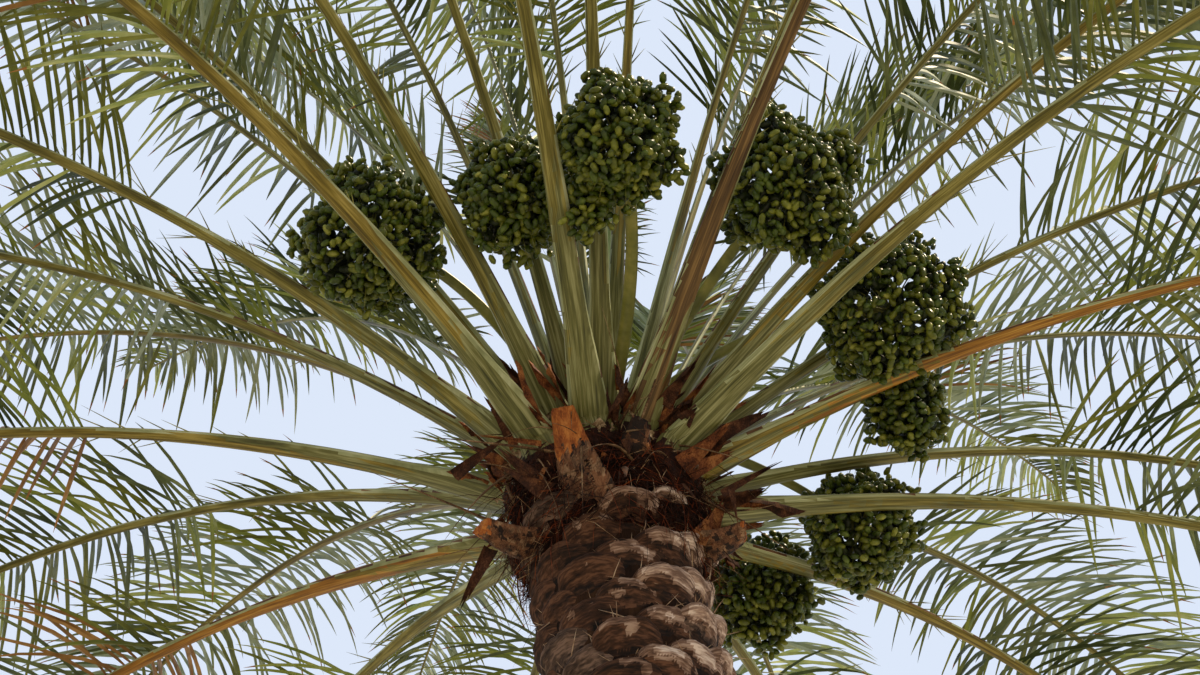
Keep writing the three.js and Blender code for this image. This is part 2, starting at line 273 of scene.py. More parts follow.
def add_node(tree, kind, inputs=None, **settings):
    """Adds a node, sets its settings, and fills or links its inputs by name or number."""
    node = tree.nodes.new(kind)
    for name, value in settings.items():
        setattr(node, name, value)
    for name, value in (inputs or {}).items():
        if isinstance(value, bpy.types.NodeSocket):
            tree.links.new(value, node.inputs[name])
        else:
            node.inputs[name].default_value = value
    return node


def plant_skin(name, tones, patch, relief, relief_size, roughness,
               stretch=1.0, gloss=0.3, detail=0.0, grain=False):
    """A material whose tones are mixed by noise in patches, with fine relief by more noise.

    patch and relief_size are the patterns' sizes and relief is how deep the fine one is,
    all in millimetres. stretch draws both out along the upright grain, or along the piece
    where it carries its own grain. detail is how far the tones follow the fine pattern too.
    """
    material = bpy.data.materials.new(name)
    material.use_nodes = True
    tree = material.node_tree
    skin = tree.nodes["Principled BSDF"]
    if grain:
        place = add_node(tree, "ShaderNodeUVMap", uv_map="grain").outputs["UV"]
        shrink = (1, 1 / stretch, 1)
    else:
        place = add_node(tree, "ShaderNodeTexCoord").outputs["Object"]
        shrink = (1, 1, 1 / stretch)
    drawn_out = add_node(tree, "ShaderNodeMapping", {"Vector": place, "Scale": shrink}).outputs["Vector"]
    patches = add_node(tree, "ShaderNodeTexNoise", {
        "Vector": drawn_out, "Scale": 1 / (patch * MM), "Detail": 4.0, "Roughness": 0.6})
    fine = add_node(tree, "ShaderNodeTexNoise", {
        "Vector": drawn_out, "Scale": 1 / (relief_size * MM), "Detail": 3.0})
    both = add_node(tree, "ShaderNodeMath", {
        0: fine.outputs["Fac"], 1: detail, 2: patches.outputs["Fac"]}, operation="MULTIPLY_ADD")
    ramp = add_node(tree, "ShaderNodeValToRGB", {"Fac": both.outputs["Value"]})
    stops = ramp.color_ramp.elements
    for index, tone in enumerate(tones):
        position = mix(RAMP_START, RAMP_END, index / (len(tones) - 1)) + detail / 2
        stop = stops[index] if index < 2 else stops.new(position)
        stop.position = position
        stop.color = linear(tone)
    tree.links.new(ramp.outputs["Color"], skin.inputs["Base Color"])
    bump = add_node(tree, "ShaderNodeBump", {
        "Height": fine.outputs["Fac"], "Strength": 0.8, "Distance": relief * MM})
    tree.links.new(bump.outputs["Normal"], skin.inputs["Normal"])
    skin.inputs["Roughness"].default_value = roughness
    skin.inputs["Specular IOR Level"].default_value = gloss
    return material


def add_toned(name, stuff, tones, finish, mesh, dealt, nodes, grain=None):
    """One piece for each tone of a stuff, from the triangles that were dealt to it."""
    points, faces = mesh
    for index, (word, tone) in enumerate(tones.items()):
        chosen = dealt == index
        skin = plant_skin(f"{stuff}, {word}", tone, **finish)
        places = None if grain is None else picked(grain, faces, chosen)[0]
        add_piece(f"{name}_{word}", [picked(points, faces, chosen)], skin, nodes, places)


print("half grey is", round(linear("808080")[0], 3), "in linear light")

# %% [markdown]
# The camera.
# The picture was taken from the ground close to the trunk, looking steeply up. The camera
# stands at eye height, its view is turned 49.5 degrees up and rolled by 2 degrees, and a
# 64 mm lens frames the crown's heart. It is made first, because everything after it is
# judged through it.

# %% Camera
EYE = CROWN + np.array([-0.027, -3.689, -3.695])
PITCH = np.radians(49.5)
ROLL = np.radians(2.03)
camera = bpy.data.objects.new("camera", bpy.data.cameras.new("camera"))
bpy.context.scene.collection.objects.link(camera)
camera.data.sensor_width = 36.0
camera.data.lens = 64.0
level = Matrix.Translation(EYE) @ Matrix.Rotation(np.pi / 2 + PITCH, 4, "X")
camera.matrix_world = level @ Matrix.Rotation(ROLL, 4, "Z")
bpy.context.scene.camera = camera
print("the camera's eye is", round(EYE[2], 2), "m above the ground")

# %% [markdown]
# Light and floor.
# A tree in the open is lit by the whole bright sky, by a high sun that catches the upper
# sides, and by the pale ground that throws light back up under the leaves. A pale world, a
# sun lamp with a softened edge and a large pale floor do the same three jobs.

# %% Sky, sun and floor
SUN_FROM = Vector((0.5, -0.1, 0.86))
FLOOR_RADIUS = 400.0
FLOOR_CORNERS = 64
FLOOR_LEVEL = -0.001
scene = bpy.context.scene
scene.view_settings.view_transform = "Standard"
world = bpy.data.worlds.new("pale sky")
world.use_nodes = True
scene.world = world
sky = world.node_tree.nodes["Background"]
sky.inputs["Color"].default_value = linear("DDE8FA")
sky.inputs["Strength"].default_value = 1.0

sun = bpy.data.objects.new("sun", bpy.data.lights.new("sun", "SUN"))
scene.collection.objects.link(sun)
sun.data.energy = 5.6
sun.data.angle = np.radians(3)
sun.data.color = linear("FFE9C8")[:3]
sun.rotation_euler = SUN_FROM.to_track_quat("Z", "Y").to_euler()

floor_mesh = bpy.data.meshes.new("floor")
turns = np.arange(FLOOR_CORNERS) * 2 * np.pi / FLOOR_CORNERS
rim = [(FLOOR_RADIUS * np.cos(turn), FLOOR_RADIUS * np.sin(turn), FLOOR_LEVEL) for turn in turns]
floor_mesh.from_pydata(rim, [], [tuple(range(len(rim)))])
floor = bpy.data.objects.new("floor", floor_mesh)
scene.collection.objects.link(floor)
floor_material = bpy.data.materials.new("pale studio floor")
floor_material.use_nodes = True
floor_skin = floor_material.node_tree.nodes["Principled BSDF"]
floor_skin.inputs["Base Color"].default_value = linear("A09B8C")
floor_skin.inputs["Roughness"].default_value = 0.9
floor_mesh.materials.append(floor_material)
floor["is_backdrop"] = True
print("lit by a sun of", round(sun.data.energy, 1), "W/m2 and a sky of strength",
      sky.inputs["Strength"].default_value)

# %% [markdown]
# The trunk's core.
# Under the cut leaf bases a palm trunk is a column of dense fibre. It could be left as the
# smooth solid, but its dark skin shows in the gaps between the bases, so it is a lathed
# skin pushed in and out by noise.

# %% Trunk core
FOOT_RADIUS = 0.350
FLARE_HEIGHT = 0.380
WAIST_RADIUS = 0.236
TOP_RADIUS = 0.200
CORE_DEPTH = 0.012
# The crown's bulb under its coat of fibre, from the trunk's top to the lowest frond
BULB_HEIGHTS = [-SHAFT_BELOW, -0.8 * SHAFT_BELOW, -0.4 * SHAFT_BELOW, 0]
BULB_RADII = [TOP_RADIUS, 0.222, 0.240, 0.228]


def column_radius(height):
    """The radius under the leaf bases, at heights above the ground on trunk and bulb."""
    flare = (FOOT_RADIUS - WAIST_RADIUS) * np.exp(-height / FLARE_HEIGHT)
    trunk = mix(WAIST_RADIUS, TOP_RADIUS, height / TRUNK_TOP) + flare
    return np.where(height < TRUNK_TOP, trunk, np.interp(height - CROWN[2], BULB_HEIGHTS, BULB_RADII))


def lathe(heights, radii, columns, rough, size, seed):
    """Rings of a rough upright column; bearings fall, so that the faces look outwards."""
    ways = outward(-np.arange(columns) * 360 / columns)
    rings = middle_line(heights)[:, None] + radii[:, None, None] * ways
    return rings + rough * lumps(rings, size, seed)[..., None] * ways


old_fibre = plant_skin("weathered palm fibre", ["120A06", "2A190F", "422B19"], patch=60, relief=6,
                       relief_size=5, roughness=0.95, stretch=3.0, gloss=0.15)
core_heights = np.linspace(0, TRUNK_TOP, 150)
core = lathe(core_heights, column_radius(core_heights) - CORE_DEPTH, columns=72, rough=0.006,
             size=0.03, seed=3.0)
add_piece("trunk_core", [tubes(core[None])], old_fibre, ["trunk"])

# %% [markdown]
# The cut leaf bases on the trunk.
# Every leaf that was ever pruned left its base behind: a broad tongue of wood that clasps
# the trunk, swells out and is rounded over at its worn lip. Each overlaps the bases above
# it and tucks one end under its neighbour, so that together they look woven. Each is one
# curved grid: its outer face rises from the trunk to the lip, rolls over the lip and drops
# back behind it. All of them come from the leaf spiral carried on down, and a little noise
# makes each one its own.

# %% Cut leaf bases
BOOT_COUNT = 544
FINE_BOOTS = 96
BOOT_RISE = 0.0095
FIRST_LIP = -0.115
BOOT_TALL = 0.115
BOOT_HALF_WIDTH = 0.102
BOOT_STAND = 0.042
BOOT_SINK = 0.023
BOOT_THICKNESS = 0.034
STUB_COUNT = 6
LIP_DROP = 0.024
LIP_TILT = 0.20
# How much the bases differ: the lip's height in metres, then shares of the sizes above
LIP_VARIES, WIDTH_VARIES, TILT_VARIES, STAND_VARIES = 0.006, 0.18, 0.6, 0.22
# Below this height above the ground the bases are more and more worn, to half at the foot
WORN_BELOW = 1.4
RAGGED = 0.008
GROOVE, BAND, DENT = 0.0026, 0.0022, 0.005
# Their sizes across and up a base in metres, the third number keeping the bases apart
RAG_SIZE, GROOVE_SIZE = (0.010, 0.030, 1), (0.007, 0.045, 1)
BAND_SIZE, DENT_SIZE = (0.050, 0.007, 1), (0.030, 0.030, 1)
# How far up the rows of a base lie, and how far in behind its outer face
BOOT_PROFILE = np.array([
    [0, 0], [.18, 0], [.34, 0], [.48, 0], [.60, 0], [.71, 0], [.80, .01],
    [.88, .05], [.945, .13], [.985, .27], [1.0, .46], [.985, .70], [.93, .92], [.68, 1.2]])
# How far a base has swelled out by shares of the way up
SWELL_WAYS, SWELL_SHARES = [0, 0.45, 0.80, 1], [0, 0.42, 0.93, 1]
boot_random = np.random.default_rng(7)


def cut_bases(numbers, rows, columns):
    """Grids of the cut bases with these numbers, counted down from the crown."""
    steps = np.linspace(0, len(BOOT_PROFILE) - 1, rows)
    up, behind = (np.interp(steps, np.arange(len(BOOT_PROFILE)), shares)[None, :, None]
                  for shares in BOOT_PROFILE.T)
    across = np.linspace(-1, 1, columns)[None, None, :]
    vary = boot_random.uniform(-1, 1, (5, len(numbers), 1, 1))
    numbers = numbers[:, None, None]
    lip = CROWN[2] + FIRST_LIP - numbers * BOOT_RISE + LIP_VARIES * vary[0]
    half = BOOT_HALF_WIDTH * (1 + WIDTH_VARIES * vary[1]) * (1 - 0.10 * up)
    tilt = LIP_TILT * across * half * (1 + TILT_VARIES * vary[2])
    height = lip - BOOT_TALL * (1 - up) - up * (LIP_DROP * np.abs(across) ** 2.6 - tilt)
    place = np.stack(np.broadcast_arrays(across * half, height, 0.4 * numbers), -1)
    ragged = lumps(place / RAG_SIZE, 1.0, 40.0) * RAGGED * np.clip(up - 0.7, 0, 1)
    height = np.maximum(height + ragged, 0)
    worn = np.clip(lip / WORN_BELOW, 0.5, 1)
    shape = (1 - 0.80 * np.abs(across) ** 3.0) * (1 - 0.34 * across)
    swell = np.interp(up, SWELL_WAYS, SWELL_SHARES)
    stand = BOOT_STAND * worn * (1 + STAND_VARIES * vary[3]) * swell * shape
    thickness = BOOT_THICKNESS * (1 - 0.6 * across ** 2) * behind
    grooves = lumps(place / GROOVE_SIZE, 1.0, 0.5)
    bands = lumps(place / BAND_SIZE, 1.0, 20.0)
    dents = lumps(place / DENT_SIZE, 1.0, 60.0)
    radius = column_radius(height) - BOOT_SINK + stand - thickness
    radius = radius + (GROOVE * grooves + BAND * bands + DENT * dents) * np.clip(2 * up, 0, 1)
    bearing = FIRST_BEARING - SPIRAL_TURN * (STUB_COUNT + 1 + numbers)
    ways = outward(bearing - np.degrees(across * half / column_radius(height)))
    return middle_line(height) + radius[..., None] * ways


fine_boots = cut_bases(np.arange(FINE_BOOTS), 23, 29)
coarse_boots = cut_bases(np.arange(FINE_BOOTS, BOOT_COUNT), 12, 11)
print(BOOT_COUNT, "cut leaf bases")

# %% [markdown]
# Tones of the bases.
# Age turns the wood of the bases from brown to grey. Deep down, where the bases round it
# would shade it, it is painted dark: painted shade. On the swell and on the side towards the
# sun, where the sun comes in under the crown, it is painted pale, almost to cream: painted
# sunlight and highlight. Worn lips are paler too, and paler still on that side, which is
# painted sunlight. Each triangle is dealt to one of the tones by its base, by its place on
# the base and by noise, and its fibres run across it.

# %% Tones of the bases
# The bearing of the bases' side towards the sun, which is painted with sunlight
SUNNY_SIDE = 112.0
# The light and bleached tones are painted sunlight and highlight, and dark is painted shade
BOOT_TONES = {
    "brown": ["1A0F08", "3F2718", "64422E"],
    "grey": ["261A13", "4E3B2F", "7A6050"],
    "red": ["1E1008", "412819", "66442F"],
    "dark": ["0C0604", "22140C", "40291A"],
    "light": ["483226", "785A48", "A68A76"],
    "bleached": ["705648", "AC8F7C", "DCC6B4"],
    "lips": ["6A4C38", "9C7A60", "C4A68C"],
}
# The first three tones are dealt to whole bases in these shares, the others by place
WHOLE_SHARES = [0.54, 0.16, 0.30]
PAINTED_SHADE, PAINTED_SUNLIGHT, PAINTED_FULL_SUN, LIPS = 3, 4, 5, 6
PAINTED_SUNLIGHT_FROM, PAINTED_FULL_SUN_FROM, LIPS_FROM = 1.12, 1.72, 0.26
PALE_LIP_SHARE = 0.45


def base_places(grids):
    """Each point's base, its row from 0 to 1 and its column from -1 to 1."""
    count, rows, columns, _ = grids.shape
    places = np.meshgrid(np.arange(count), np.linspace(0, 1, rows), np.linspace(-1, 1, columns),
                         indexing="ij")
    return np.stack(places, -1).reshape(-1, 3)


def dealt_tones(grids):
    """The index of a tone for each triangle of some bases."""
    points, faces = sheets(grids)
    base, row, column = base_places(grids)[faces].mean(1).T
    base = base.astype(int)
    middles = points[faces].mean(1)
    sunny = off_trunk(middles) @ outward(SUNNY_SIDE)
    patches = lumps(middles, 0.034, 6.0)
    swell = 1 - ((row - 0.52) / 0.30) ** 2 - 0.8 * (column + 0.1) ** 2
    tone = boot_random.choice(3, len(grids), p=WHOLE_SHARES)[base]
    # Painted highlight and sunlight: paler on the swell and on the side towards the sun
    tone[swell + 0.9 * patches + 1.12 * sunny > PAINTED_SUNLIGHT_FROM] = PAINTED_SUNLIGHT
    tone[swell + 0.9 * patches + 1.30 * sunny > PAINTED_FULL_SUN_FROM] = PAINTED_FULL_SUN
    pale = boot_random.random(len(grids))[base] < PALE_LIP_SHARE
    # Pale worn lips, dealt more on the side towards the sun, where the paleness is painted sunlight
    tone[pale & (row > 0.68) & (patches + 0.5 * sunny > LIPS_FROM)] = LIPS
    # Painted shade: dark at the foot, tucked under the lips below, and behind the lip
    tone[(row + 0.10 * patches < 0.17) | (row > 0.86)] = PAINTED_SHADE
    return tone


def base_grain(grids):
    """Each point's place along and across the fibres of its base."""
    places = base_places(grids)
    return places[:, 1:] * (BOOT_TALL, BOOT_HALF_WIDTH) + 0.31 * places[:, :1]


boots = (fine_boots, coarse_boots)
boot_tones = np.concatenate([dealt_tones(grids) for grids in boots])
boot_grain = np.concatenate([base_grain(grids) for grids in boots])
add_toned("cut_bases", "cut palm base", BOOT_TONES,
          dict(patch=16, relief=2.5, relief_size=3.5, roughness=0.85, stretch=7.0, gloss=0.25,
               detail=0.7, grain=True),
          joined([sheets(grids) for grids in boots]), boot_tones, ["trunk"], boot_grain)

# %% [markdown]
# Splinters on the lips.
# A saw leaves the lips of the bases hairy with torn fibre, which bleaches almost white.
# Each splinter is a thin three-sided thread that tapers to a point.

# %% Splinters
SPLINTERS = 1300
SPLINTERS_ABOVE = 0.08
# The row of a grid that runs along the lip, on the fine and the coarse bases
FINE_LIP_ROW, COARSE_LIP_ROW = 17, 8
lip_points = np.concatenate([fine_boots[:, FINE_LIP_ROW, 1:-1].reshape(-1, 3),
                             coarse_boots[:, COARSE_LIP_ROW, 1:-1].reshape(-1, 3)])
lip_points = lip_points[lip_points[:, 2] > SPLINTERS_ABOVE]
roots = lip_points[boot_random.integers(0, len(lip_points), SPLINTERS)]
lean = unit(off_trunk(roots) * 0.45 + UP * boot_random.uniform(-0.2, 1.0, (SPLINTERS, 1))
            + boot_random.normal(0, 0.6, (SPLINTERS, 3)))
lengths = boot_random.gamma(2.5, 0.009, SPLINTERS) + 0.006
bends = boot_random.normal(0, 0.005, (SPLINTERS, 3))
pale_splinter = plant_skin("bleached palm splinters", ["7A5C42", "B5967A", "DCC6A8"], patch=20,
                           relief=1, relief_size=2, roughness=0.8)
splinters = slivers(roots - lean * 0.004, lean, lengths, lengths * 0.04 + 0.0012, bends, rings=3)
add_piece("lip_splinters", [splinters], pale_splinter, ["trunk"])

# %% [markdown]
# The crown shaft.
# Where the trunk ends, the bases of living and newly pruned leaves clasp each other in a
# bulb, wrapped in coarse red-brown matting. The bulb is lathed like the trunk's core. It
# swells under the lowest fronds and narrows between the young ones.

# %% The bulb of fibre
SHAFT_RADIUS = 0.235
SHAFT_TIP_RADIUS = 0.045
SHAFT_FULLNESS = 0.6
MATTING_SINK = 0.012
BULB_FOOT = -1.05 * SHAFT_BELOW


def shaft_radius(age):
    """How far from the crown's axis a frond of this age starts."""
    return mix(SHAFT_TIP_RADIUS, SHAFT_RADIUS, (1 - age) ** SHAFT_FULLNESS)


def bulb_radius(height):
    """The bulb's radius at heights in the crown, under the lowest frond and above it."""
    above = shaft_radius(np.clip(height / SHAFT_RISE, 0, 1)) - MATTING_SINK
    return np.where(height < 0, column_radius(CROWN[2] + height), above)


crown_fibre = plant_skin("fresh palm fibre matting", ["070302", "1C0B05", "3A1A0C"], patch=30,
                         relief=9, relief_size=4, roughness=0.95, stretch=2.0, gloss=0.12, detail=0.6)
bulb_heights = np.linspace(BULB_FOOT, SHAFT_RISE, 70)
bulb = lathe(CROWN[2] + bulb_heights, bulb_radius(bulb_heights), columns=140, rough=0.014,
             size=0.022, seed=9.0)
add_piece("fibre_bulb", [tubes(bulb[None])], crown_fibre, ["crown_shaft"])

# %% [markdown]
# How a frond grows.
# The rib leaves the bulb at a lift that steepens with the leaf's youth, and droops along an
# even curve. Every part of a frond, from its sheath to its last leaflet, is hung on this
# one line, so the rule is written once.

# %% How a frond grows
FROND_COUNT = len(FROND_NODES)
LOWEST_LIFT = 17.7
STEEPEST_LIFT = 80.0
LIFT_POWER = 1.28
FROND_LENGTH = 3.9
FROND_DROOP = 94.0
DROOP_POWER = 1.3
YOUNG_LENGTH = 0.86
YOUNG_WIDTH = 0.5
PETIOLE_LENGTH = 1.15
RIB_STEP = 0.05
RIB_WAYS = [0, 0.28, 1.0, FROND_LENGTH]
RIB_WIDTHS = [0.116, 0.066, 0.038, 0.008]
RIB_DEPTHS = [0.050, 0.036, 0.026, 0.006]


def frond_plan(number):
    """The line of one frond's rib and what places its leaflets, by the spiral rule."""
    age = number / (FROND_COUNT - 1)
    bearing = FIRST_BEARING + number * SPIRAL_TURN
    lift = np.radians(mix(LOWEST_LIFT, STEEPEST_LIFT, age ** LIFT_POWER))
    length = FROND_LENGTH * mix(1, YOUNG_LENGTH, age)
    droop = np.radians(FROND_DROOP) * np.cos(lift)
    out = outward(bearing)
    slopes = lift - droop * ((np.arange(0, length, RIB_STEP) + RIB_STEP / 2) / length) ** DROOP_POWER
    steps = RIB_STEP * (np.cos(slopes)[:, None] * out + np.sin(slopes)[:, None] * UP)
    start = around(bearing, shaft_radius(age), age * SHAFT_RISE)
    line = np.concatenate([start[None], start + np.cumsum(steps, 0)])
    return dict(number=number, age=age, bearing=bearing, lift=lift, length=length, droop=droop,
                outward=out, side=np.cross(out, UP), line=line, size=mix(1, YOUNG_WIDTH, age))


def rib_place(frond, ways):
    """The rib's middle, its direction and its upper side at ways along a frond."""
    slopes = frond["lift"] - frond["droop"] * (np.maximum(ways, 0) / frond["length"]) ** DROOP_POWER
    aheads = np.cos(slopes)[:, None] * frond["outward"] + np.sin(slopes)[:, None] * UP
    step = np.clip((ways // RIB_STEP).astype(int), 0, len(frond["line"]) - 1)
    middles = frond["line"][step] + aheads * (ways - step * RIB_STEP)[:, None]
    return middles, aheads, np.cross(frond["side"], aheads)


def rib_half(ways, sizes):
    return np.interp(ways, RIB_WAYS, sizes) / 2


fronds = [frond_plan(number) for number in range(FROND_COUNT)]
print("fronds lift from", LOWEST_LIFT, "to", STEEPEST_LIFT, "degrees")

# %% [markdown]
# Pruned stubs.
# The last leaves to be cut still show as stubs between the sheaths and the trunk's bases.
# A stub is a tongue that narrows to a sawn end. Its wood is orange where the saw opened it
# and brown below, with weathered and dark streaks along the grain, so each triangle is
# dealt to one of four tones by its place and by noise that is drawn out lengthwise.

# %% The shape of a stub
STUB_INSET = 0.060
STUB_FOOT_DEPTH = 0.034
STUB_ARCH = 0.016
STUB_RIDGES = 0.0022
# Length, lift, drop below the lowest frond and sideways swing of each stub
STUBS = [(0.070, 30, 0.033, 0), (0.110, 20, 0.066, 0), (0.110, 0, 0.180, 0), (0.090, 5, 0.185, 0),
         (0.120, 20, 0.165, 0), (0.230, 58, 0.198, 22)]
# Half widths of each stub at its foot, at 30 and 62 per cent of its length and at its end
STUB_WAYS = [0, 0.3, 0.62, 1]
STUB_HALF_WIDTHS = [(0.050, 0.046, 0.036, 0.020), *[(0.062, 0.056, 0.044, 0.030)] * 4,
                    (0.078, 0.070, 0.048, 0.031)]
STUB_HALF_DEPTHS = (0.030, 0.013)
# Sizes of the stubs' grain across and along the wood, and how far it stands out at the cut
GRAIN_ACROSS, GRAIN_ALONG = 0.005, 0.09
TORN_DEPTH, SAWN_SLANT = 0.006, 0.25
STUB_CORNERS = 32
STUB_LEVELS = 40
# How far each ring at the sawn end has closed in, and how far it lies along the stub
SAWN_END = np.array([[0.96, 1.0], [0.80, 1.004], [0.45, 1.0], [0.15, 0.992]])


def stub(number):
    """Rings of one pruned leaf's stub."""
    bearing = FIRST_BEARING - number * SPIRAL_TURN
    length, lift, drop, swing = STUBS[number - 1]
    lift = np.radians(lift)
    axis = np.cos(lift) * outward(bearing + swing) + np.sin(lift) * UP
    side = np.cross(outward(bearing + swing), UP)
    over = np.cross(side, axis)
    foot = around(bearing, SHAFT_RADIUS - STUB_FOOT_DEPTH - STUB_INSET / 2, -drop - STUB_INSET / 3)
    share = np.append(np.linspace(0, 0.995, STUB_LEVELS), SAWN_END[:, 1])
    closing = np.append(np.ones(STUB_LEVELS), SAWN_END[:, 0])
    arch = STUB_ARCH * np.sin(np.pi * share)
    middles = foot + share[:, None] * (length + STUB_INSET) * axis - arch[:, None] * over
    half_widths = np.interp(share, STUB_WAYS, STUB_HALF_WIDTHS[number - 1]) * closing
    half_depths = np.interp(share, [0, 1], STUB_HALF_DEPTHS) * closing
    rings = section_rings(middles, side, over, half_widths, half_depths, round_outline(STUB_CORNERS, 0.7))
    across, deep, along = ((rings - foot) @ way for way in (side, over, axis))
    grain = np.stack([across / GRAIN_ACROSS, deep / GRAIN_ACROSS, along / GRAIN_ALONG + number * 7], -1)
    slant = SAWN_SLANT * across * (share[:, None] > 0.9)
    near_end = np.clip((share[:, None] - 0.85) / 0.15, 0, 1)
    torn = (TORN_DEPTH * lumps(grain, 1.0, 3.0) + slant) * near_end
    return rings + STUB_RIDGES * lumps(grain, 1.0, 1.0)[..., None] * over + torn[..., None] * axis


stubs = np.stack([stub(number) for number in range(1, STUB_COUNT + 1)])
print(len(stubs), "stubs, the longest", max(length for length, *_ in STUBS), "m")

# %% Tones of the stubs
STUB_TONES = {
    "old": ["2A170C", "5A3822", "82593C"],
    "sawn": ["6A3210", "9A5420", "BC7838"],
    "weathered": ["3E2A1C", "6E5038", "9A7A5C"],
    "dark": ["0C0503", "1E0E07", "36200F"],
}
OLD, SAWN, WEATHERED, DARK_STREAK = range(4)
# From how far along each stub the wood is fresh; the oldest have none
SAWN_FROM = np.array([1.2, 1.2, 0.82, 0.90, 0.86, 0.56])
stub_mesh = tubes(stubs)
stub_points, stub_faces = stub_mesh
middles = stub_points[stub_faces].mean(1)
ring_points = stubs.shape[1] * STUB_CORNERS
face_stub = np.repeat(np.arange(STUB_COUNT), len(stub_faces) // STUB_COUNT)
level = np.clip((stub_faces % (ring_points + 2)).mean(1) / ring_points, 0, 1)
streaks = lumps(middles * (1, 1, 0.18), 0.010, 8.0)
weathering = lumps(middles * (1, 1, 0.25), 0.014, 4.0)
darkening = lumps(middles * (1, 1, 0.25), 0.012, 14.0)
tone = np.zeros(len(stub_faces), int)
tone[level + 0.10 * streaks > SAWN_FROM[face_stub]] = SAWN
tone[(tone == OLD) & (face_stub > 0) & (weathering > 0.16)] = WEATHERED
tone[(tone == OLD) & (darkening > np.where(face_stub < 2, -0.3, 0.26))] = DARK_STREAK
add_toned("leaf_stubs", "palm stub wood", STUB_TONES,
          dict(patch=22, relief=2, relief_size=3, roughness=0.75, stretch=5.0, detail=0.5),
          stub_mesh, tone, ["crown_shaft"])

# %% [markdown]
# Torn scraps round the stalks.
# Each sheath was once a whole sleeve. As the crown grew it tore, and its remains stand
# beside the stalks as brown pointed ears, hang from the bulb as strips and straps and lie
# crumpled in the gaps. All of them are thin grids with a ragged end, bent and crumpled by
# noise, so one function makes them.

# %% Torn sheets
SCRAP_ROWS, SCRAP_COLUMNS = 12, 7
SCRAP_RAGS = 0.45
SCRAP_TAPER = 0.7
scrap_random = np.random.default_rng(19)


def drawn(size, count):
    """A size for each scrap: drawn from a range, or the one number or the list that is given."""
    return scrap_random.uniform(*size, count) if isinstance(size, tuple) else np.broadcast_to(size, count)


def torn_sheets(feet, aheads, sides, lengths, widths, curls, crumple):
    """Grids of thin torn sheets that start at feet, taper, curl over and end in rags."""
    count = len(feet)
    lengths, widths, curls, crumple = (
        drawn(size, count)[:, None, None] for size in (lengths, widths, curls, crumple))
    along = np.linspace(0, 1, SCRAP_ROWS)[None, :, None]
    across = np.linspace(-1, 1, SCRAP_COLUMNS)[None, None, :]
    rags = 1 - SCRAP_RAGS * scrap_random.random((count, 1, SCRAP_COLUMNS)) * np.abs(across) ** 0.7
    skew = scrap_random.uniform(-0.5, 0.5, (count, 1, 1))
    half = widths / 2 * (1 - SCRAP_TAPER * along ** 1.3)
    feet, aheads, sides, normals = (
        lines[:, None, None] for lines in (feet, aheads, sides, np.cross(aheads, sides)))
    grid = (feet + (along * rags * lengths)[..., None] * aheads
            + (half * across + skew * half * along)[..., None] * sides
            + (curls * lengths * along ** 2)[..., None] * normals)
    wave = lumps(grid, 0.014, 11.0) + 0.5 * lumps(grid, 0.006, 12.0)
    cup = 0.5 * half * across ** 2
    return grid + (crumple * wave * (0.2 + along) + cup)[..., None] * normals


# %% Ears and hanging strips
EARS = 150
# The oldest fronds have ears, which start within this stretch of the rib
EAR_FRONDS = 34
EAR_WAYS = (-0.03, 0.08)
# How far an ear spreads from the stalk and how far it tilts, in radians
EAR_SPREAD = (-0.1, 0.55)
EAR_TILT = (-0.9, 0.9)
HANGING = 26


def ear_places():
    """Feet, directions and sides of the torn ears, which start at the edges of stalks."""
    numbers = scrap_random.integers(0, EAR_FRONDS, EARS)
    hands = scrap_random.choice([-1, 1], EARS)
    places = []
    for number, hand, way in zip(numbers, hands, scrap_random.uniform(*EAR_WAYS, EARS)):
        frond = fronds[number]
        side = frond["side"]
        middle, ahead, over = (value[0] for value in rib_place(frond, np.array([way])))
        half = frond["size"] * rib_half(way, RIB_WIDTHS)
        spread = hand * scrap_random.uniform(*EAR_SPREAD)
        tilt = scrap_random.uniform(*EAR_TILT)
        across = np.cos(spread) * side - np.sin(spread) * ahead
        places.append((middle + hand * half * 0.85 * side - 0.010 * over,
                       np.cos(spread) * ahead + np.sin(spread) * side,
                       np.cos(tilt) * across + np.sin(tilt) * over))
    return np.moveaxis(np.array(places), 1, 0)


ears = torn_sheets(*ear_places(), (0.05, 0.19), (0.022, 0.060), (-0.35, 0.35), (0.003, 0.009))
bearings = scrap_random.uniform(0, 360, HANGING)
ways = outward(bearings)
feet = around(bearings, bulb_radius(np.full(HANGING, -0.12)) + 0.02, drawn((-0.15, 0.0), HANGING))
aheads = unit(ways * scrap_random.uniform(0.2, 1.0, (HANGING, 1)) - UP * 0.9)
hanging = torn_sheets(feet, aheads, np.cross(ways, UP), (0.05, 0.13), (0.016, 0.040), (-0.3, 0.3), 0.006)
print(len(ears), "ears and", len(hanging), "hanging strips")

# %% Straps and crumpled litter
# Dead straps that still hang on: foot and tip, each as bearing, distance and height, and
# width; the first six are dark and the others rust
STRAPS = [
    ((246, 0.411, -0.093), (229, 0.300, 0.035), 0.032),
    ((259, 0.306, -0.220), (269, 0.382, -0.371), 0.036),
    ((221, 0.24, -0.150), (228, 0.35, -0.120), 0.050),
    ((224, 0.24, -0.120), (234, 0.33, -0.020), 0.040),
    ((115, 0.290, -0.075), (110, 0.440, 0.010), 0.020),
    ((124, 0.330, -0.120), (123, 0.324, -0.225), 0.016),
    ((217, 0.265, -0.018), (237, 0.370, 0.014), 0.014),
    ((138, 0.25, -0.050), (128, 0.37, 0.060), 0.050),
    ((133, 0.25, -0.060), (120, 0.36, 0.020), 0.042),
    ((122, 0.22, -0.230), (110, 0.28, -0.080), 0.055),
    ((128, 0.22, -0.250), (117, 0.27, -0.130), 0.045),
]
DARK_STRAPS = 6
DEBRIS = 200
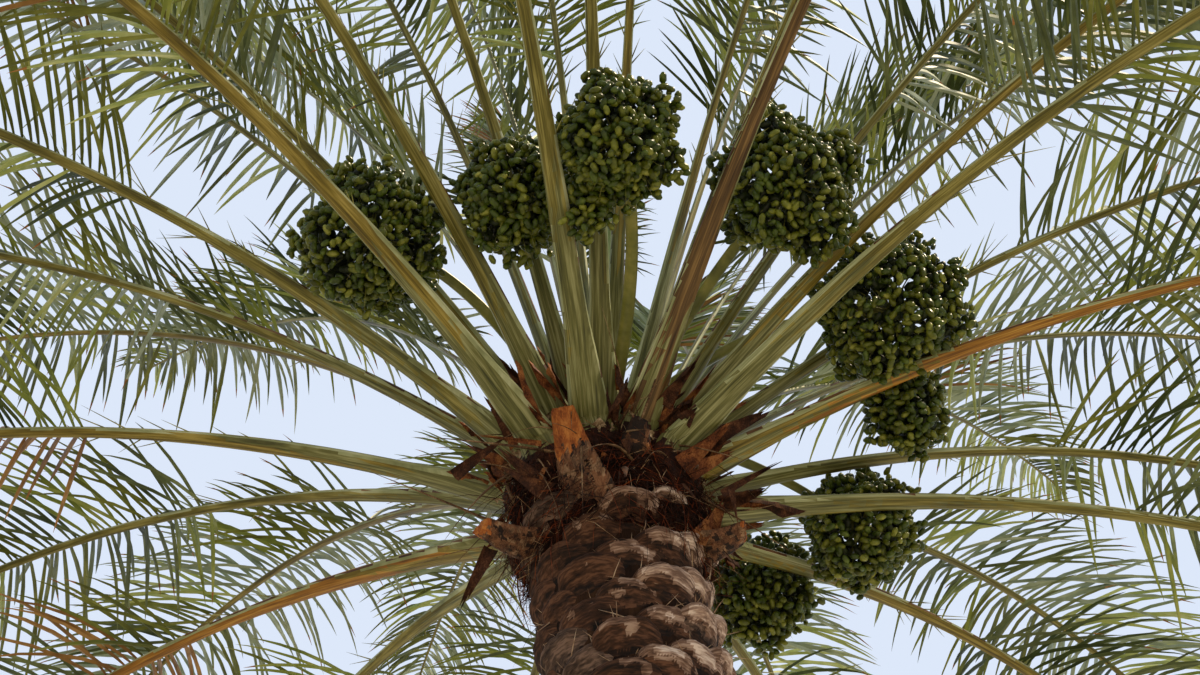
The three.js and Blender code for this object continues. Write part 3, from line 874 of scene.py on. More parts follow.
HEAP = 26


def litter(bearings, heights, stand, lift, lengths, widths):
    """Crumpled scraps that lie every way round the bulb, at a range of distances from it."""
    count = len(bearings)
    feet = around(bearings, bulb_radius(heights) + drawn(stand, count), heights)
    aheads = unit(scrap_random.normal(0, 1, (count, 3)) + lift * UP)
    sides = unit(scrap_random.normal(0, 1, (count, 3)))
    return torn_sheets(feet, aheads, sides, lengths, widths, (-0.8, 0.8), 0.010)


bearings = scrap_random.uniform(0, 360, DEBRIS)
heights = scrap_random.uniform(0.0, 0.8, DEBRIS) * SHAFT_RISE
debris = litter(bearings, heights, (0, 0.06), 0.8, (0.015, 0.045), (0.010, 0.028))
feet, tips = (np.array([around(*strap[end]) for strap in STRAPS]) for end in (0, 1))
aheads = unit(tips - feet)
# Each strap is turned nearly broad side on to the camera
sides = unit(np.cross(aheads, feet - EYE) + scrap_random.normal(0, 0.3, aheads.shape))
straps = torn_sheets(feet, aheads, sides, np.linalg.norm(tips - feet, axis=1),
                     [width for *_, width in STRAPS], (-0.15, 0.15), 0.007)
# A little heap of scraps lies between the stalks in front
bearings = scrap_random.normal(180, 6, HEAP)
heights = scrap_random.uniform(-0.01, 0.09, HEAP)
heap = litter(bearings, heights, (0.01, 0.04), 0, (0.010, 0.030), (0.008, 0.020))
print(len(straps), "straps and", DEBRIS + HEAP, "crumpled scraps")

# %% Materials of the scraps
sleeve = dict(relief=1.5, relief_size=3, roughness=0.8, gloss=0.25, detail=0.5)
rust_sleeve = plant_skin("torn leaf sleeve, rust", ["32180C", "6E3C1E", "9C6638"], patch=30,
                         stretch=2.0, **sleeve)
dark_sleeve = plant_skin("torn leaf sleeve, dark", ["1C0E08", "402315", "6A442C"], patch=30,
                         stretch=2.0, **sleeve)
paper_sleeve = plant_skin("papery dead leaf sleeve", ["5A4632", "8E7658", "B8A283"], patch=20,
                          **sleeve)
rusty = scrap_random.random(EARS) < 0.5
for name, skin, grids in (
        ("torn_ears_rust", rust_sleeve, (ears[rusty], hanging[::2], straps[DARK_STRAPS:])),
        ("torn_ears_dark", dark_sleeve, (ears[~rusty], hanging[1::2], straps[:DARK_STRAPS])),
        ("papery_scraps", paper_sleeve, (debris, heap))):
    add_piece(name, [sheets(grid) for grid in grids], skin, ["crown_shaft"])

# %% [markdown]
# Loose fibre round the bulb.
# The sheaths fray into coarse threads that cross each other all over the bulb and hang in
# beards under the lowest fronds. A fur system could draw them, but it wouldn't survive
# leaving this file, so each thread is modelled as a thin three-sided tube. A few much wider
# ones are the dry strips that curl out between the stalks.

# %% Fibre threads
THREADS = 5000
LOOSE_SHARE = 0.25
THREAD_WIDTHS = (0.0010, 0.0032)
THREAD_SHARES = [0.72, 0.23, 0.05]
THREAD_TONES = {
    "dark": ["120704", "2C140A", "4A2412"],
    "rust": ["3A180A", "702F12", "9C4C1E"],
    "pale": ["6A4C32", "A07C58", "CDB08A"],
}
fibre_random = np.random.default_rng(23)
bearings = fibre_random.uniform(0, 360, THREADS)
heights = mix(BULB_FOOT, 0.7 * SHAFT_RISE, fibre_random.random(THREADS) ** 1.2)
roots = around(bearings, bulb_radius(heights) + fibre_random.uniform(-0.008, 0.018, THREADS), heights)
ways = outward(bearings)
loose = fibre_random.random(THREADS) < LOOSE_SHARE
aheads = unit(np.where(loose, 0.8, 0.16)[:, None] * ways
              + np.cross(ways, UP) * fibre_random.normal(0, 1, (THREADS, 1))
              + UP * fibre_random.normal(-0.1, 0.8, (THREADS, 1)))
lengths = fibre_random.gamma(3, np.where(loose, 0.024, 0.022), THREADS)
sag = (lengths * fibre_random.uniform(0, 0.7, THREADS))[:, None]
bends = -UP * sag - ways * (lengths * 0.22)[:, None]
threads = slivers(roots, aheads, lengths, fibre_random.uniform(*THREAD_WIDTHS, THREADS), bends, rings=3)
thread_tones = fibre_random.choice(len(THREAD_TONES), THREADS, p=THREAD_SHARES)
add_toned("fibre_threads", "coarse palm thread", THREAD_TONES,
          dict(patch=30, relief=1, relief_size=2, roughness=0.85, gloss=0.25), threads,
          np.repeat(thread_tones, len(threads[1]) // THREADS), ["crown_shaft"])

# %% Dry strips
STRIPS = 60
STRIP_LENGTHS = (0.08, 0.24)
STRIP_WIDTHS = (0.004, 0.011)
bearings = fibre_random.uniform(0, 360, STRIPS)
heights = fibre_random.uniform(-0.10, 0.10, STRIPS)
ways = outward(bearings)
aheads = unit(ways + np.cross(ways, UP) * fibre_random.normal(0, 0.8, (STRIPS, 1))
              + UP * fibre_random.normal(0.3, 0.5, (STRIPS, 1)))
lengths = fibre_random.uniform(*STRIP_LENGTHS, STRIPS)
sag = -UP * fibre_random.uniform(0.1, 0.9, (STRIPS, 1))
bends = (sag + fibre_random.normal(0, 0.35, (STRIPS, 3))) * lengths[:, None]
strips = slivers(around(bearings, bulb_radius(heights), heights), aheads, lengths,
                 fibre_random.uniform(*STRIP_WIDTHS, STRIPS), bends, rings=9)
strip_skin = plant_skin("dry palm strip", ["2A1A10", "6B4E34", "A88C68"], patch=60, relief=1,
                        relief_size=3, roughness=0.7, detail=0.5)
add_piece("dry_strips", [strips], strip_skin, ["crown_shaft"])

# %% [markdown]
# Ribs of the fronds.
# A palm leaf doesn't simply stick out of the trunk: its stalk widens below into a sheath
# that hugs the bulb. Above, it thins to a rod in its first metre and then to a whip. Its
# underside is round and its upper side nearly flat, with a sharp edge between the two. One
# section is swept up the bulb's side, out along the stalk and on to the tip, so that no
# joint shows. The streaks of its waxy skin run lengthwise, which no noise in space can
# follow round a bend, so every point also carries its place across and along the rib.

# %% The shape of a rib
SHEATH_TALL = 0.14
SHEATH_WIDTHS = [0.180, 0.140]
SHEATH_DEPTHS = [0.026, 0.042]
SHEATH_SINK = 0.012
RIDGE_DEPTH = 0.0014
RIDGE_FADE = 0.8
RIB_CORNERS = 16
FULLNESS = 0.8
RIB_OUTLINE = round_outline(RIB_CORNERS, 0.6)
RIB_OUTLINE[:, 0] = np.sign(RIB_OUTLINE[:, 0]) * np.abs(RIB_OUTLINE[:, 0]) ** FULLNESS
RIB_LEVELS = np.concatenate([np.linspace(0.04, 1.15, 26), np.linspace(1.2, FROND_LENGTH, 44)])
SHEATH_LEVELS = np.linspace(0, 1, 13)[:-1]


def rib(frond):
    """Rings of a frond's sheath and rib, and the place of each point across and along it."""
    height, size, side = frond["age"] * SHAFT_RISE, frond["size"], frond["side"]
    ways = RIB_LEVELS * frond["length"] / FROND_LENGTH
    stalk, aheads, overs = rib_place(frond, ways)
    low = np.array(height - SHEATH_TALL)
    foot = around(frond["bearing"], bulb_radius(low) - SHEATH_SINK, low)
    knee = rib_place(frond, np.array([-SHEATH_SINK]))[0]
    lead = bowed(foot, knee, stalk[0], SHEATH_LEVELS[:, None])
    lead_aheads = unit(np.gradient(np.concatenate([lead, stalk[:1]]), axis=0)[:-1])
    half_widths, half_depths = (size * np.concatenate([
        np.interp(SHEATH_LEVELS, [0, 0.5, 1], [*near, np.interp(ways[0], RIB_WAYS, far)]) / 2,
        rib_half(ways, far)]) for near, far in ((SHEATH_WIDTHS, RIB_WIDTHS), (SHEATH_DEPTHS, RIB_DEPTHS)))
    middles = np.concatenate([lead, stalk])
    overs = np.concatenate([np.cross(side, lead_aheads), overs])
    ways = np.concatenate([-SHEATH_TALL * (1 - SHEATH_LEVELS), ways])[:, None]
    rings = section_rings(middles, side, overs, half_widths, half_depths, RIB_OUTLINE)
    across = half_widths[:, None] * RIB_OUTLINE[:, 0]
    deep = half_depths[:, None] * RIB_OUTLINE[:, 1]
    # The sheath's edges bend back round the bulb
    hug = across ** 2 / (2 * np.maximum(bulb_radius(middles[:, 2] - CROWN[2]), 0.1))[:, None]
    hug = hug * np.clip(-ways / SHEATH_TALL, 0, 1)
    place = np.stack([across / 0.007, deep / 0.007, 0 * across + ways / 0.5 + 9 * frond["number"]], -1)
    ridges = RIDGE_DEPTH * lumps(place, 1.0, 0.3) * np.exp(-np.maximum(ways, 0) / RIDGE_FADE)
    rings = rings - hug[..., None] * frond["outward"] + ridges[..., None] * overs[:, None]
    round_rib = across + deep + 0.3 * frond["number"]
    return rings, np.stack([round_rib, np.broadcast_to(ways, across.shape)], -1)


rib_rings, rib_grain = (np.stack(values) for values in zip(*map(rib, fronds)))
rib_mesh = tubes(rib_rings)
rib_points, rib_faces = rib_mesh
rib_grain = np.concatenate([rib_grain.reshape(FROND_COUNT, -1, 2), rib_grain[:, [0, -1]].mean(2)], 1)
rib_grain = rib_grain.reshape(-1, 2)
print(len(rib_faces), "triangles of ribs")

# %% [markdown]
# Tones of the ribs.
# Most stalks are green, some more olive, two have turned golden and one brown. Each keeps
# that tone but for its paler foot, a pale rim along its edges, which is a painted highlight
# and which a brown margin breaks in places, and its sheath, which is dead and dark below a
# frayed edge.

# %% Tones of the ribs
RIB_TONES = {
    "green": ["433F12", "6E672B", "9B9352"],
    "olive": ["4A3F11", "766723", "A2914A"],
    "golden": ["5C3A0C", "93641C", "BC903E"],
    "brown": ["3A2712", "5E4625", "876A3E"],
    "foot": ["3D4020", "6A6A3A", "999A6C"],
    "rim": ["6E7348", "9A9F72", "C2C6A0"],
    "margin": ["2E190E", "5A3A22", "8E6A42"],
}
GREEN, OLIVE, GOLDEN, BROWN, FOOT, PAINTED_RIM_HIGHLIGHT, MARGIN, DEAD = range(8)
GOLDEN_FRONDS = (0, 9)
BROWN_FROND = 12
TURNED_FRONDS = (*GOLDEN_FRONDS, BROWN_FROND)
OLIVE_FRONDS = (2, 5, 6, 17, 21, 26, 33, 38)
# Where along the rib the foot, the painted rim highlight and the margin end, in metres
FOOT_END = 0.5
TURNED_FOOT_END = 0.2 * FOOT_END
PAINTED_HIGHLIGHT_START = 0.05
PAINTED_HIGHLIGHT_END = 2.2
MARGIN_END = 1.3
DEAD_WAY = -0.36
DEAD_BELOW = -0.045
# Columns of triangles from the widest place on down the underside, right and left
EDGE_COLUMNS = (RIB_CORNERS // 4, 3 * RIB_CORNERS // 4 - 1)
NEXT_COLUMNS = (RIB_CORNERS // 4 + 1, 3 * RIB_CORNERS // 4 - 2)
rib_tints = np.full(FROND_COUNT, GREEN)
rib_tints[list(OLIVE_FRONDS)] = OLIVE
rib_tints[list(GOLDEN_FRONDS)] = GOLDEN
rib_tints[BROWN_FROND] = BROWN
faces_each = len(rib_faces) // FROND_COUNT
face_frond = np.repeat(np.arange(FROND_COUNT), faces_each)
in_rib = np.tile(np.arange(faces_each), FROND_COUNT)
skin_faces = 2 * (rib_rings.shape[1] - 1) * RIB_CORNERS
face_column = np.where(in_rib < skin_faces, in_rib % RIB_CORNERS, -1)
across, way = np.moveaxis(rib_grain[rib_faces].mean(1), -1, 0)
fray = lumps(np.stack([way / 0.03, face_frond * 3.1, face_column * 1.0], -1), 1.0, 2.0)
torn = lumps(np.stack([across / 0.006, way / 0.09, 0 * way], -1), 1.0, 7.0)
blotch = lumps(np.stack([across / 0.010, way / 0.4, face_frond * 5.3], -1), 1.0, 4.0)
rise = rib_points[rib_faces].mean(1)[:, 2] - CROWN[2]
edge, beside_edge = np.isin(face_column, EDGE_COLUMNS), np.isin(face_column, NEXT_COLUMNS)
foot_end = np.where(np.isin(face_frond, TURNED_FRONDS), TURNED_FOOT_END, FOOT_END)
tone = rib_tints[face_frond]
tone[(tone == GOLDEN) & (way + 0.5 * blotch < FOOT_END)] = OLIVE
tone[way + 0.6 * blotch < foot_end] = FOOT
# The pale rim along both edges, and in patches beside them, is a painted highlight
tone[edge & (way > PAINTED_HIGHLIGHT_START) & (way < PAINTED_HIGHLIGHT_END)] = PAINTED_RIM_HIGHLIGHT
tone[beside_edge & (way > PAINTED_HIGHLIGHT_START) & (way < 0.6 * PAINTED_HIGHLIGHT_END) & (blotch > 0)] = PAINTED_RIM_HIGHLIGHT
tone[edge & (way + 0.5 * fray < MARGIN_END) & (fray > 0.35 * (face_frond % 3))] = MARGIN
dead = (way / SHEATH_TALL + 0.20 * torn < DEAD_WAY) | (rise + 0.020 * torn < DEAD_BELOW)
tone[(way < 0) & dead] = DEAD
add_toned("ribs", "waxy leaf stalk", RIB_TONES,
          dict(patch=9, relief=0.8, relief_size=3, roughness=0.44, stretch=30.0, detail=0.4, grain=True),
          rib_mesh, tone, FROND_NODES, rib_grain)
sheath_skin = plant_skin("dead leaf sheath", ["0F0603", "2C120A", "4C2413"], patch=40, relief=5,
                         relief_size=4, roughness=0.85, stretch=3.0, detail=0.6)
add_piece("leaf_sheaths", [picked(rib_points, rib_faces, tone == DEAD)], sheath_skin,
          ["crown_shaft"])

# %% [markdown]
# Spines on the stalks.
# Below the first leaflets a date palm's stalk is armed: its lowest leaflets are short stiff
# spines, longer and longer towards the first soft one. Each is a straight three-sided thorn.

# %% Spines
SPINES = 6
SPINE_WIDTH = 0.0045
# Where the spines stand, as shares of the bare stalk, and how long they are there
SPINE_SHARES = (0.62, 1)
SPINE_LENGTHS = (0.04, 0.16)
rib_random = np.random.default_rng(29)
spines = []
for frond in fronds:
    for hand in (1, -1):
        ways = np.sort(rib_random.uniform(*SPINE_SHARES, SPINES)) * PETIOLE_LENGTH
        middles, aheads, overs = rib_place(frond, ways)
        turn = np.radians(rib_random.uniform(18, 40, SPINES))[:, None]
        rise = np.radians(rib_random.uniform(-15, 45, SPINES))[:, None]
        beside = hand * np.cos(rise) * frond["side"] + np.sin(rise) * overs
        half = frond["size"] * rib_half(ways, RIB_WIDTHS)
        starts = middles + hand * 0.8 * half[:, None] * frond["side"]
        share = (ways / PETIOLE_LENGTH - SPINE_SHARES[0]) / (SPINE_SHARES[1] - SPINE_SHARES[0])
        lengths = frond["size"] * mix(*SPINE_LENGTHS, share) * rib_random.uniform(0.7, 1.2, SPINES)
        spines.append(slivers(starts, np.cos(turn) * aheads + np.sin(turn) * beside, lengths,
                              np.full(SPINES, SPINE_WIDTH), np.zeros((SPINES, 3)), rings=3))
spine_skin = plant_skin("palm spine", ["5A5A2A", "8A8A44", "B5AE6A"], patch=50, relief=0.3,
                        relief_size=4, roughness=0.4, gloss=0.5)
add_piece("stalk_spines", spines, spine_skin, FROND_NODES)

# %% [markdown]
# Leaflets.
# A date palm's leaflet is a stiff blade folded along its middle like a paper dart, and the
# leaflets stand in several planes along the rib, so that a frond is a bottle brush rather
# than a comb. Each is two narrow strips that meet at the fold, follows the construction
# model's rule for length and sweep, and arches a little. Leaf colour goes by sprays of
# neighbours: most are grey-green, deep green or olive and some yellower. Young fronds are
# more silvery, the fronds that have turned are drier, and many tips are scorched brown.

# %% Leaflet rule
LEAFLET_PAIRS = 122
LEAFLET_LENGTH = 0.550
LEAFLET_SWELL = (0.18, 0.92)
LEAFLET_FULLNESS = 0.7
LEAFLET_SWEEP = (62, 26)
LEAFLET_RISES = np.array([4, 33, 17, -12, 26, 44, 10])
# How much leaflets differ from the rule: degrees of sweep, rise and twist, share of length
SWEEP_VARIES, RISE_VARIES, TWIST_VARIES, LENGTH_VARIES = 7, 6, 35, 0.08
YOUNG_LEAFLETS = 0.85
# How far a leaflet arches and its tip droops, and how much that differs, in shares of length
ARCH, ARCH_VARIES = 0.05, 0.04
DROOP, DROOP_VARIES = 0.09, 0.07
LEAFLET_WIDTH = 0.023
LEAFLET_FOLD = (62, 38)
LEAFLET_STEPS = np.array([0, 0.1, 0.3, 0.52, 0.74, 0.9, 1])
LEAFLET_OUTLINE = np.array([0.45, 0.85, 1, 0.93, 0.7, 0.38, 0.03])
SPRAY = 7
# Sprays on the other hand of a frond are numbered from here
OTHER_HAND = 40
leaf_random = np.random.default_rng(31)


def frond_leaflets(frond):
    """Both halves of a frond's leaflets, shaped (leaflets, 2, steps, 2, 3), and its sprays."""
    pair = np.arange(LEAFLET_PAIRS)
    grids, sprays = [], []
    for hand in (1, -1):
        share = (pair + (0.3 if hand > 0 else 0.8)) / LEAFLET_PAIRS
        middles, aheads, overs = rib_place(frond, mix(PETIOLE_LENGTH, frond["length"] - 0.01, share))
        vary = leaf_random.uniform(-1, 1, (6, LEAFLET_PAIRS))
        sweep = np.radians(mix(*LEAFLET_SWEEP, share) + SWEEP_VARIES * vary[0])[:, None]
        plane = LEAFLET_RISES[(pair + 3 * (hand > 0)) % len(LEAFLET_RISES)]
        rise = np.radians(plane + RISE_VARIES * vary[1])
        beside = hand * np.cos(rise)[:, None] * frond["side"] + np.sin(rise)[:, None] * overs
        direction = np.cos(sweep) * aheads + np.sin(sweep) * beside
        swell = np.sin(np.pi * mix(*LEAFLET_SWELL, share)) ** LEAFLET_FULLNESS
        length = LEAFLET_LENGTH * swell * (1 + LENGTH_VARIES * vary[2])
        length = (length * mix(1, YOUNG_LEAFLETS, frond["age"]))[:, None, None]
        twist = np.radians(TWIST_VARIES * vary[3])[:, None]
        flat = unit(np.cross(direction, overs))
        flat = flat * np.cos(twist) + np.cross(direction, flat) * np.sin(twist)
        top = np.cross(flat, direction)
        step = LEAFLET_STEPS[None, :, None]
        arch = (ARCH + ARCH_VARIES * vary[4])[:, None, None] * length
        droop = (DROOP + DROOP_VARIES * vary[5])[:, None, None] * length
        spine = (middles[:, None] + direction[:, None] * length * step
                 + UP * (arch * 4 * step * (1 - step) - droop * step ** 3))
        half = (LEAFLET_WIDTH / 2 * (0.75 + 0.25 * swell))[:, None, None] * LEAFLET_OUTLINE[None, :, None]
        fold = np.radians(mix(*LEAFLET_FOLD, step))
        rims = [spine + half * (edge * np.cos(fold) * flat[:, None] + np.sin(fold) * top[:, None])
                for edge in (1, -1)]
        grids.append(np.stack([np.stack([spine, rim], 2) for rim in rims], 1))
        sprays.append(pair // SPRAY + OTHER_HAND * (hand > 0))
    return np.concatenate(grids), np.concatenate(sprays)


print(2 * LEAFLET_PAIRS, "leaflets to a frond")

# %% Leaf tones dealt to the sprays
# The glowing tone is a painted glow, as if the sun shone through the leaflets
LEAF_TONES = {
    "grey_green": ["444D2D", "626D43", "879160"],
    "deep_green": ["2E3814", "455222", "636E34"],
    "olive": ["4D521A", "6D732B", "909344"],
    "yellow_green": ["66722A", "88933F", "AAB062"],
    "glowing": ["8C9C50", "B0BA70", "D2D6A0"],
    "silver": ["76836A", "98A48A", "BAC4AC"],
    "dry": ["64421E", "8F6834", "B48C54"],
}
# Shares of the tones on most fronds, on those that have turned and on the young ones
LEAF_SHARES = [0.28, 0.20, 0.24, 0.16, 0.06, 0.03, 0.03]
TURNED_SHARES = [0.24, 0.16, 0.28, 0.16, 0.04, 0.00, 0.12]
YOUNG_SHARES = [0.22, 0.08, 0.10, 0.12, 0.12, 0.34, 0.02]
YOUNG_FROM = 18
BURNT_SHARE = 0.3
leaves = {tint: [] for tint in LEAF_TONES}
scorched = []
for frond in fronds:
    grids, sprays = frond_leaflets(frond)
    shares = (TURNED_SHARES if frond["number"] in TURNED_FRONDS
              else YOUNG_SHARES if frond["number"] >= YOUNG_FROM else LEAF_SHARES)
    dealt = leaf_random.choice(len(LEAF_TONES), 2 * OTHER_HAND, p=shares)[sprays]
    burnt = leaf_random.random(len(grids)) < BURNT_SHARE
    for tint, name in enumerate(LEAF_TONES):
        # A burnt leaflet's last stretch is left to the scorched tips
        for halves in (grids[(dealt == tint) & ~burnt], grids[(dealt == tint) & burnt][:, :, :-1]):
            leaves[name].append(sheets(halves.reshape(-1, *halves.shape[2:])))
    tips = grids[burnt][:, :, -2:]
    scorched.append(sheets(tips.reshape(-1, *tips.shape[2:])))
for name, tones in LEAF_TONES.items():
    skin = plant_skin("palm leaf " + name.replace("_", " "), tones, patch=150, relief=0.4,
                      relief_size=3, roughness=0.50)
    add_piece(f"leaflets_{name}", leaves[name], skin, FROND_NODES)
scorch = plant_skin("scorched leaf tips", ["6B3F1E", "A06A35", "BF9058"], patch=60, relief=0.4,
                    relief_size=3, roughness=0.7)
add_piece("leaflet_tips_scorched", scorched, scorch, FROND_NODES)

# %% [markdown]
# Dates.
# Unripe dates are smooth green ovals of about 28 by 18 mm, packed on branching strands. A
# bunch is mostly its outermost layer, so each has a shell of fruit over a sparser one of
# larger fruit in darker tones, which are painted shade. It is no ball: the strands make lobes
# that stand out round its middle, with dark gaps between them, and single dates hang free of
# the rest. A date that would sit in a leaf stalk is left out. The bunches' places come from
# the construction model's own list, and two loose tails of fruit hang beside them.

# %% The bunches' places
# Bearing, distance, height and radius of each ball, and its stalk's swing in degrees,
# foot height, arch and sideways bend
BUNCHES = [
    (231, 0.760, 0.400, 0.198, 0, 0.120, 0.300, 0),
    (201, 0.670, 0.400, 0.160, 6, 0.240, 0.300, -0.050),
    (180, 0.840, 0.345, 0.165, 15, 0.120, 0.220, -0.100),
    (147, 0.760, 0.470, 0.195, 15, 0.160, 0.260, -0.050),
    (113, 0.755, 0.420, 0.205, 30, 0.240, 0.300, -0.050),
    (69, 0.710, 0.200, 0.165, -3, 0.240, 0.300, -0.100),
    (39, 0.680, 0.220, 0.160, 24, 0.120, 0.220, -0.050),
]
# Loose tails of fruit under the fifth bunch and between the second and the third
TAILS = [(93, 0.760, 0.330, 0.120), (187, 0.700, 0.265, 0.085)]
BUNCH_STRETCH = 1.1
print(len(BUNCHES), "bunches, the widest", 2 * max(bunch[3] for bunch in BUNCHES), "m across")

# %% Dates
DATE_LENGTH = 0.0285
DATE_WIDTH = 0.0178
DATE_BLUNTNESS = 0.8
DATE_SIDES = 6
DATE_LEVELS = np.pi * np.array([0.08, 0.34, 0.66, 0.92])
# Each date of the inner layer is a plainer oval with fewer sides and rings
INNER_SIDES = 4
INNER_SIZE = 1.3
INNER_LEVELS = np.pi * np.array([0.15, 0.5, 0.85])
DATE_COVER = 0.92
DATE_SLANT = UP + 0.37 * outward(75.0)
# How deep the outer layer lies at most, and where the inner one starts and how thick it is
OUTER_DEPTH = 0.026
INNER_DEPTH, INNER_SPREAD = 0.028, 0.022
SHAKEN = 0.045
LOBES = 15
LOBE_WIDTH = 0.42
LOBE_DEPTH = 0.30
FREE_SHARE = 0.05
FREE_STAND = 0.022
GAP_BELOW = -0.42
# The ways along a rib at which dates keep this far from it
RIB_WAYS_NEAR_DATES = np.linspace(0, 1.6, 81)
RIB_MARGIN = 0.010
date_random = np.random.default_rng(47)


def date_rings(middles, axes, sizes, levels, corners):
    """Rings of ovals round their long axes, blunt at both ends."""
    along = -np.cos(levels) * DATE_LENGTH / 2
    half = np.sin(levels) ** DATE_BLUNTNESS * DATE_WIDTH / 2
    lines = middles[:, None] + axes[:, None] * (along[None] * sizes[:, None])[..., None]
    sides = unit(np.cross(axes, DATE_SLANT))
    overs = np.cross(sides, axes)
    halves = half[None] * sizes[:, None]
    return section_rings(lines, sides[:, None], overs[:, None], halves, halves, round_outline(corners))


def clear_of_ribs(points):
    """Whether each point stands clear of every leaf stalk."""
    clear = np.ones(len(points), bool)
    widths = rib_half(RIB_WAYS_NEAR_DATES, RIB_WIDTHS)
    for frond in fronds:
        gap = np.linalg.norm(points[:, None] - rib_place(frond, RIB_WAYS_NEAR_DATES)[0], axis=-1)
        clear &= (gap > frond["size"] * widths + RIB_MARGIN).all(1)
    return clear


def ball_ways(count):
    """Directions spread evenly over a ball, a little shaken."""
    index = np.arange(count) + 0.5
    level = np.arccos(1 - 2 * index / count)
    turn = np.pi * (1 + 5 ** 0.5) * index
    ways = np.stack([np.cos(turn) * np.sin(level), np.sin(turn) * np.sin(level), np.cos(level)], -1)
    return unit(ways + date_random.normal(0, SHAKEN, ways.shape))


def lobed(ways, lobes):
    """How far a bunch reaches in each direction, as a share of its radius."""
    near = np.exp(-(np.arccos(np.clip(ways @ lobes.T, -1, 1)) / LOBE_WIDTH) ** 2).max(1)
    return 1 - LOBE_DEPTH + (LOBE_DEPTH + 0.04) * near


dates, inner_dates = [], []
for bearing, distance, height, radius in [*(bunch[:4] for bunch in BUNCHES), *TAILS]:
    middle = around(bearing, distance, height)
    lobes = unit(ball_ways(LOBES) + date_random.normal(0, 0.16, (LOBES, 3)))
    outer = int(4 * np.pi * radius ** 2 / (DATE_COVER * DATE_LENGTH * DATE_WIDTH))
    inner = outer // 3
    ways = np.concatenate([ball_ways(outer), ball_ways(inner)])
    depth = np.append(OUTER_DEPTH * date_random.random(outer) ** 1.5,
                      INNER_DEPTH + INNER_SPREAD * date_random.random(inner))
    free = np.append(date_random.random(outer) < FREE_SHARE, np.zeros(inner, bool))
    reach = radius * lobed(ways, lobes) - depth + FREE_STAND * free
    spots = ways * reach[:, None] * (1, 1, BUNCH_STRETCH)
    gaps = lumps(spots, 0.045, middle[0] * 9) < GAP_BELOW
    loose = unit(date_random.normal(0, 1, spots.shape) * (1, 1, 0.6))
    axes = unit(0.3 * ways + 0.8 * loose - 0.1 * UP)
    first = np.arange(len(spots)) < outer
    keep = clear_of_ribs(middle + spots) & ~(gaps & first & ~free)
    sizes = date_random.uniform(0.84, 1.12, len(spots)) * np.where(first, 1, INNER_SIZE)
    for layer, levels, corners, here in ((dates, DATE_LEVELS, DATE_SIDES, keep & first),
                                         (inner_dates, INNER_LEVELS, INNER_SIDES, keep & ~first)):
        layer.append(date_rings((middle + spots)[here], axes[here], sizes[here], levels, corners))
dates, inner_dates = np.concatenate(dates), np.concatenate(inner_dates)
print(len(dates) + len(inner_dates), "dates")

# %% Date materials and pieces
DATE_TONES = {
    "deep": ["222D06", "3A4A10", "56661E"],
    "olive": ["363C09", "535B14", "767B28"],
    "yellow": ["50570F", "727826", "9A9C46"],
}
DATE_SHARES = [0.46, 0.40, 0.14]
date_tints = date_random.choice(len(DATE_TONES), len(dates), p=DATE_SHARES)
for tint, (word, tones) in enumerate(DATE_TONES.items()):
    skin = plant_skin(f"unripe date, {word} green", tones, patch=26, relief=0.3, relief_size=6,
                      roughness=0.32, gloss=0.32)
    add_piece(f"dates_{word}", [tubes(dates[date_tints == tint])], skin, BUNCH_NODES)
# The inner dates are painted darker than the outer ones: painted shade
shaded = plant_skin("unripe date in the shade", ["0E1303", "1C2608", "313C10"], patch=26,
                    relief=0.3, relief_size=6, roughness=0.5)
add_piece("dates_inner", [tubes(inner_dates)], shaded, BUNCH_NODES)

# %% [markdown]
# Stalks of the bunches.
# Each bunch hangs from a flat, waxy stalk that arches out from between the leaves and
# frays into thin strands inside the fruit. The stalks follow the construction's curves,
# and the strands fan out from the stalk's end to the skin of the ball.

# %% Stalks and strands
STALK_FOOT_DISTANCE = 0.060
STALK_HALF_WIDTHS = (0.020, 0.013)
STALK_HALF_DEPTHS = (0.009, 0.007)
STALK_LEVELS = np.linspace(0, 1, 24)
STRANDS = 60
STRAND_WIDTH = 0.005
stalks, strands = [], []
for bearing, distance, height, radius, swing, foot_height, arch, sideways in BUNCHES:
    foot = around(bearing + swing, STALK_FOOT_DISTANCE, foot_height)
    middle = around(bearing, distance, height)
    bend = (foot + middle) / 2 + sideways * outward(bearing + 90) + arch * UP
    middles = bowed(foot, bend, middle, STALK_LEVELS[:, None])
    aheads = unit(np.gradient(middles, axis=0))
    sides = unit(np.cross(aheads, UP))
    stalks.append(section_rings(middles, sides, np.cross(sides, aheads),
                                mix(*STALK_HALF_WIDTHS, STALK_LEVELS),
                                mix(*STALK_HALF_DEPTHS, STALK_LEVELS), round_outline(10)))
    ends = ball_ways(STRANDS) * (0.85 * radius) * (1, 1, BUNCH_STRETCH)
    bends = date_random.normal(0, 0.012, ends.shape) - UP * 0.02
    strands.append(slivers(np.repeat(middle[None], STRANDS, 0), unit(ends), np.linalg.norm(ends, axis=1),
                           np.full(STRANDS, STRAND_WIDTH), bends))
stalk_skin = plant_skin("waxy date stalk", ["5A5F26", "7C7E38", "A09A50"], patch=80, relief=0.4,
                        relief_size=6, roughness=0.4, gloss=0.5)
add_piece("date_stalks", [tubes(np.stack(stalks))], stalk_skin, BUNCH_NODES)
add_piece("date_strands", strands, stalk_skin, BUNCH_NODES)

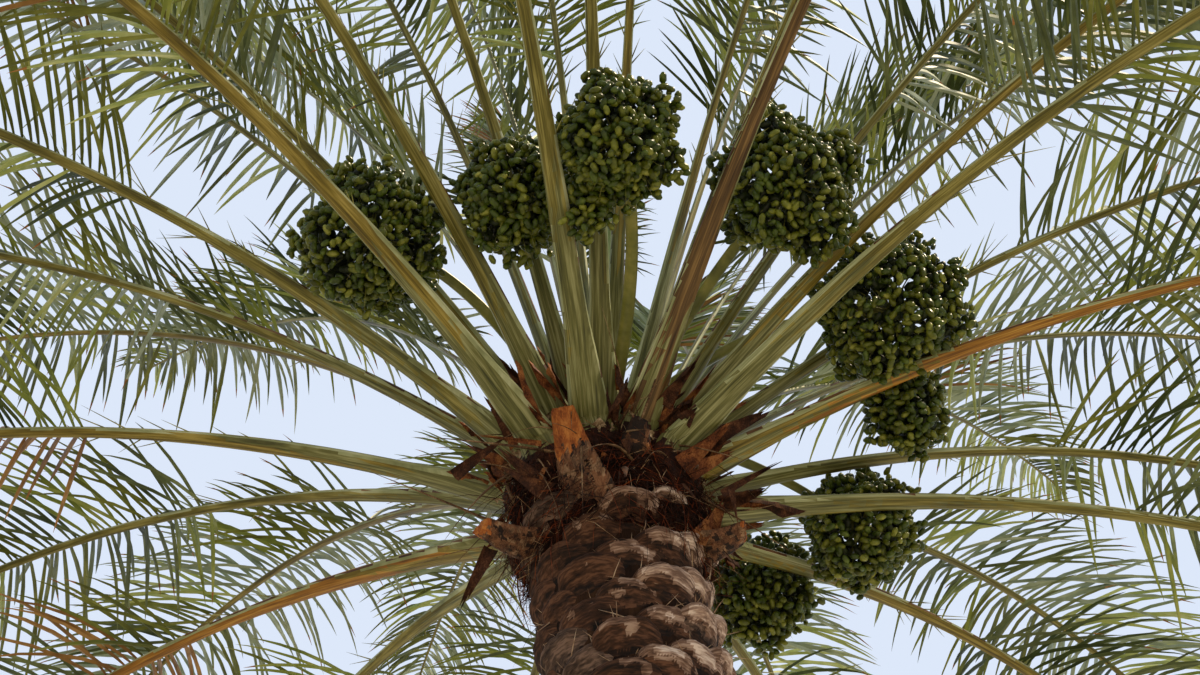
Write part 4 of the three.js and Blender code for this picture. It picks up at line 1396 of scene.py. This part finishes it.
# %% [markdown]
# The spear.
# The youngest leaf stands shut in the middle of the crown as a tall spear, its leaflets
# still pressed together. It is a bundle of narrow blades that start higher and higher up a
# thin rib and all point almost straight up.

# %% Spear
SPEAR_HEIGHT = 1.7
SPEAR_RADIUS = 0.032
SPEAR_BLADES = 90
SPEAR_TURN = 137.5
SPEAR_BULGE = 0.012
BLADE_HALF_WIDTH = 0.011
share = np.linspace(0, 1, SPEAR_BLADES)
turns = share * SPEAR_TURN * SPEAR_BLADES
ways = outward(turns)[:, None]
starts = around(turns, 0.5 * SPEAR_RADIUS * (1 - 0.8 * share),
                SHAFT_RISE + share ** 0.8 * SPEAR_HEIGHT * 0.62)
tips = around(turns + 20, SPEAR_RADIUS * mix(0.75, 0.2, share),
              SHAFT_RISE + SPEAR_HEIGHT * mix(0.36, 0.98, share ** 0.7))
step = LEAFLET_STEPS[None, :, None]
spine = starts[:, None] + (tips - starts)[:, None] * step + ways * SPEAR_BULGE * 4 * step * (1 - step)
half = BLADE_HALF_WIDTH * LEAFLET_OUTLINE[None, :, None]
blades = [np.stack([spine, spine + half * (edge * 0.75 * np.cross(ways, UP) - 0.66 * ways)], 2)
          for edge in (1, -1)]
levels = np.linspace(0, 1, 12)
spear_middles = CROWN + (SHAFT_RISE + levels * SPEAR_HEIGHT * 0.9)[:, None] * UP
spear_half = SPEAR_RADIUS * 0.6 * (1 - 0.85 * levels ** 2)
spear_rib = section_rings(spear_middles, np.array([1.0, 0, 0]), np.array([0, -1.0, 0]),
                          spear_half, spear_half, round_outline(10))
spear_skin = plant_skin("young folded leaf", ["7F8F4A", "9AA862", "B4BE7E"], patch=100, relief=0.4,
                        relief_size=3, roughness=0.45, stretch=2.0, gloss=0.5)
add_piece("spear_blades", [sheets(np.concatenate(blades)), tubes(spear_rib[None])], spear_skin,
          ["spear"])

# %% [markdown]
# Last measure.
# Both boxes, the construction model's and the dressed palm's, are gathered side by side.

# %% Sizes
dressed_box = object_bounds()
sizes = {"cad": [list(corner) for corner in cad_box], "visual": [list(corner) for corner in dressed_box]}
print("the dressed palm reaches from", dressed_box[0], "to", dressed_box[1])
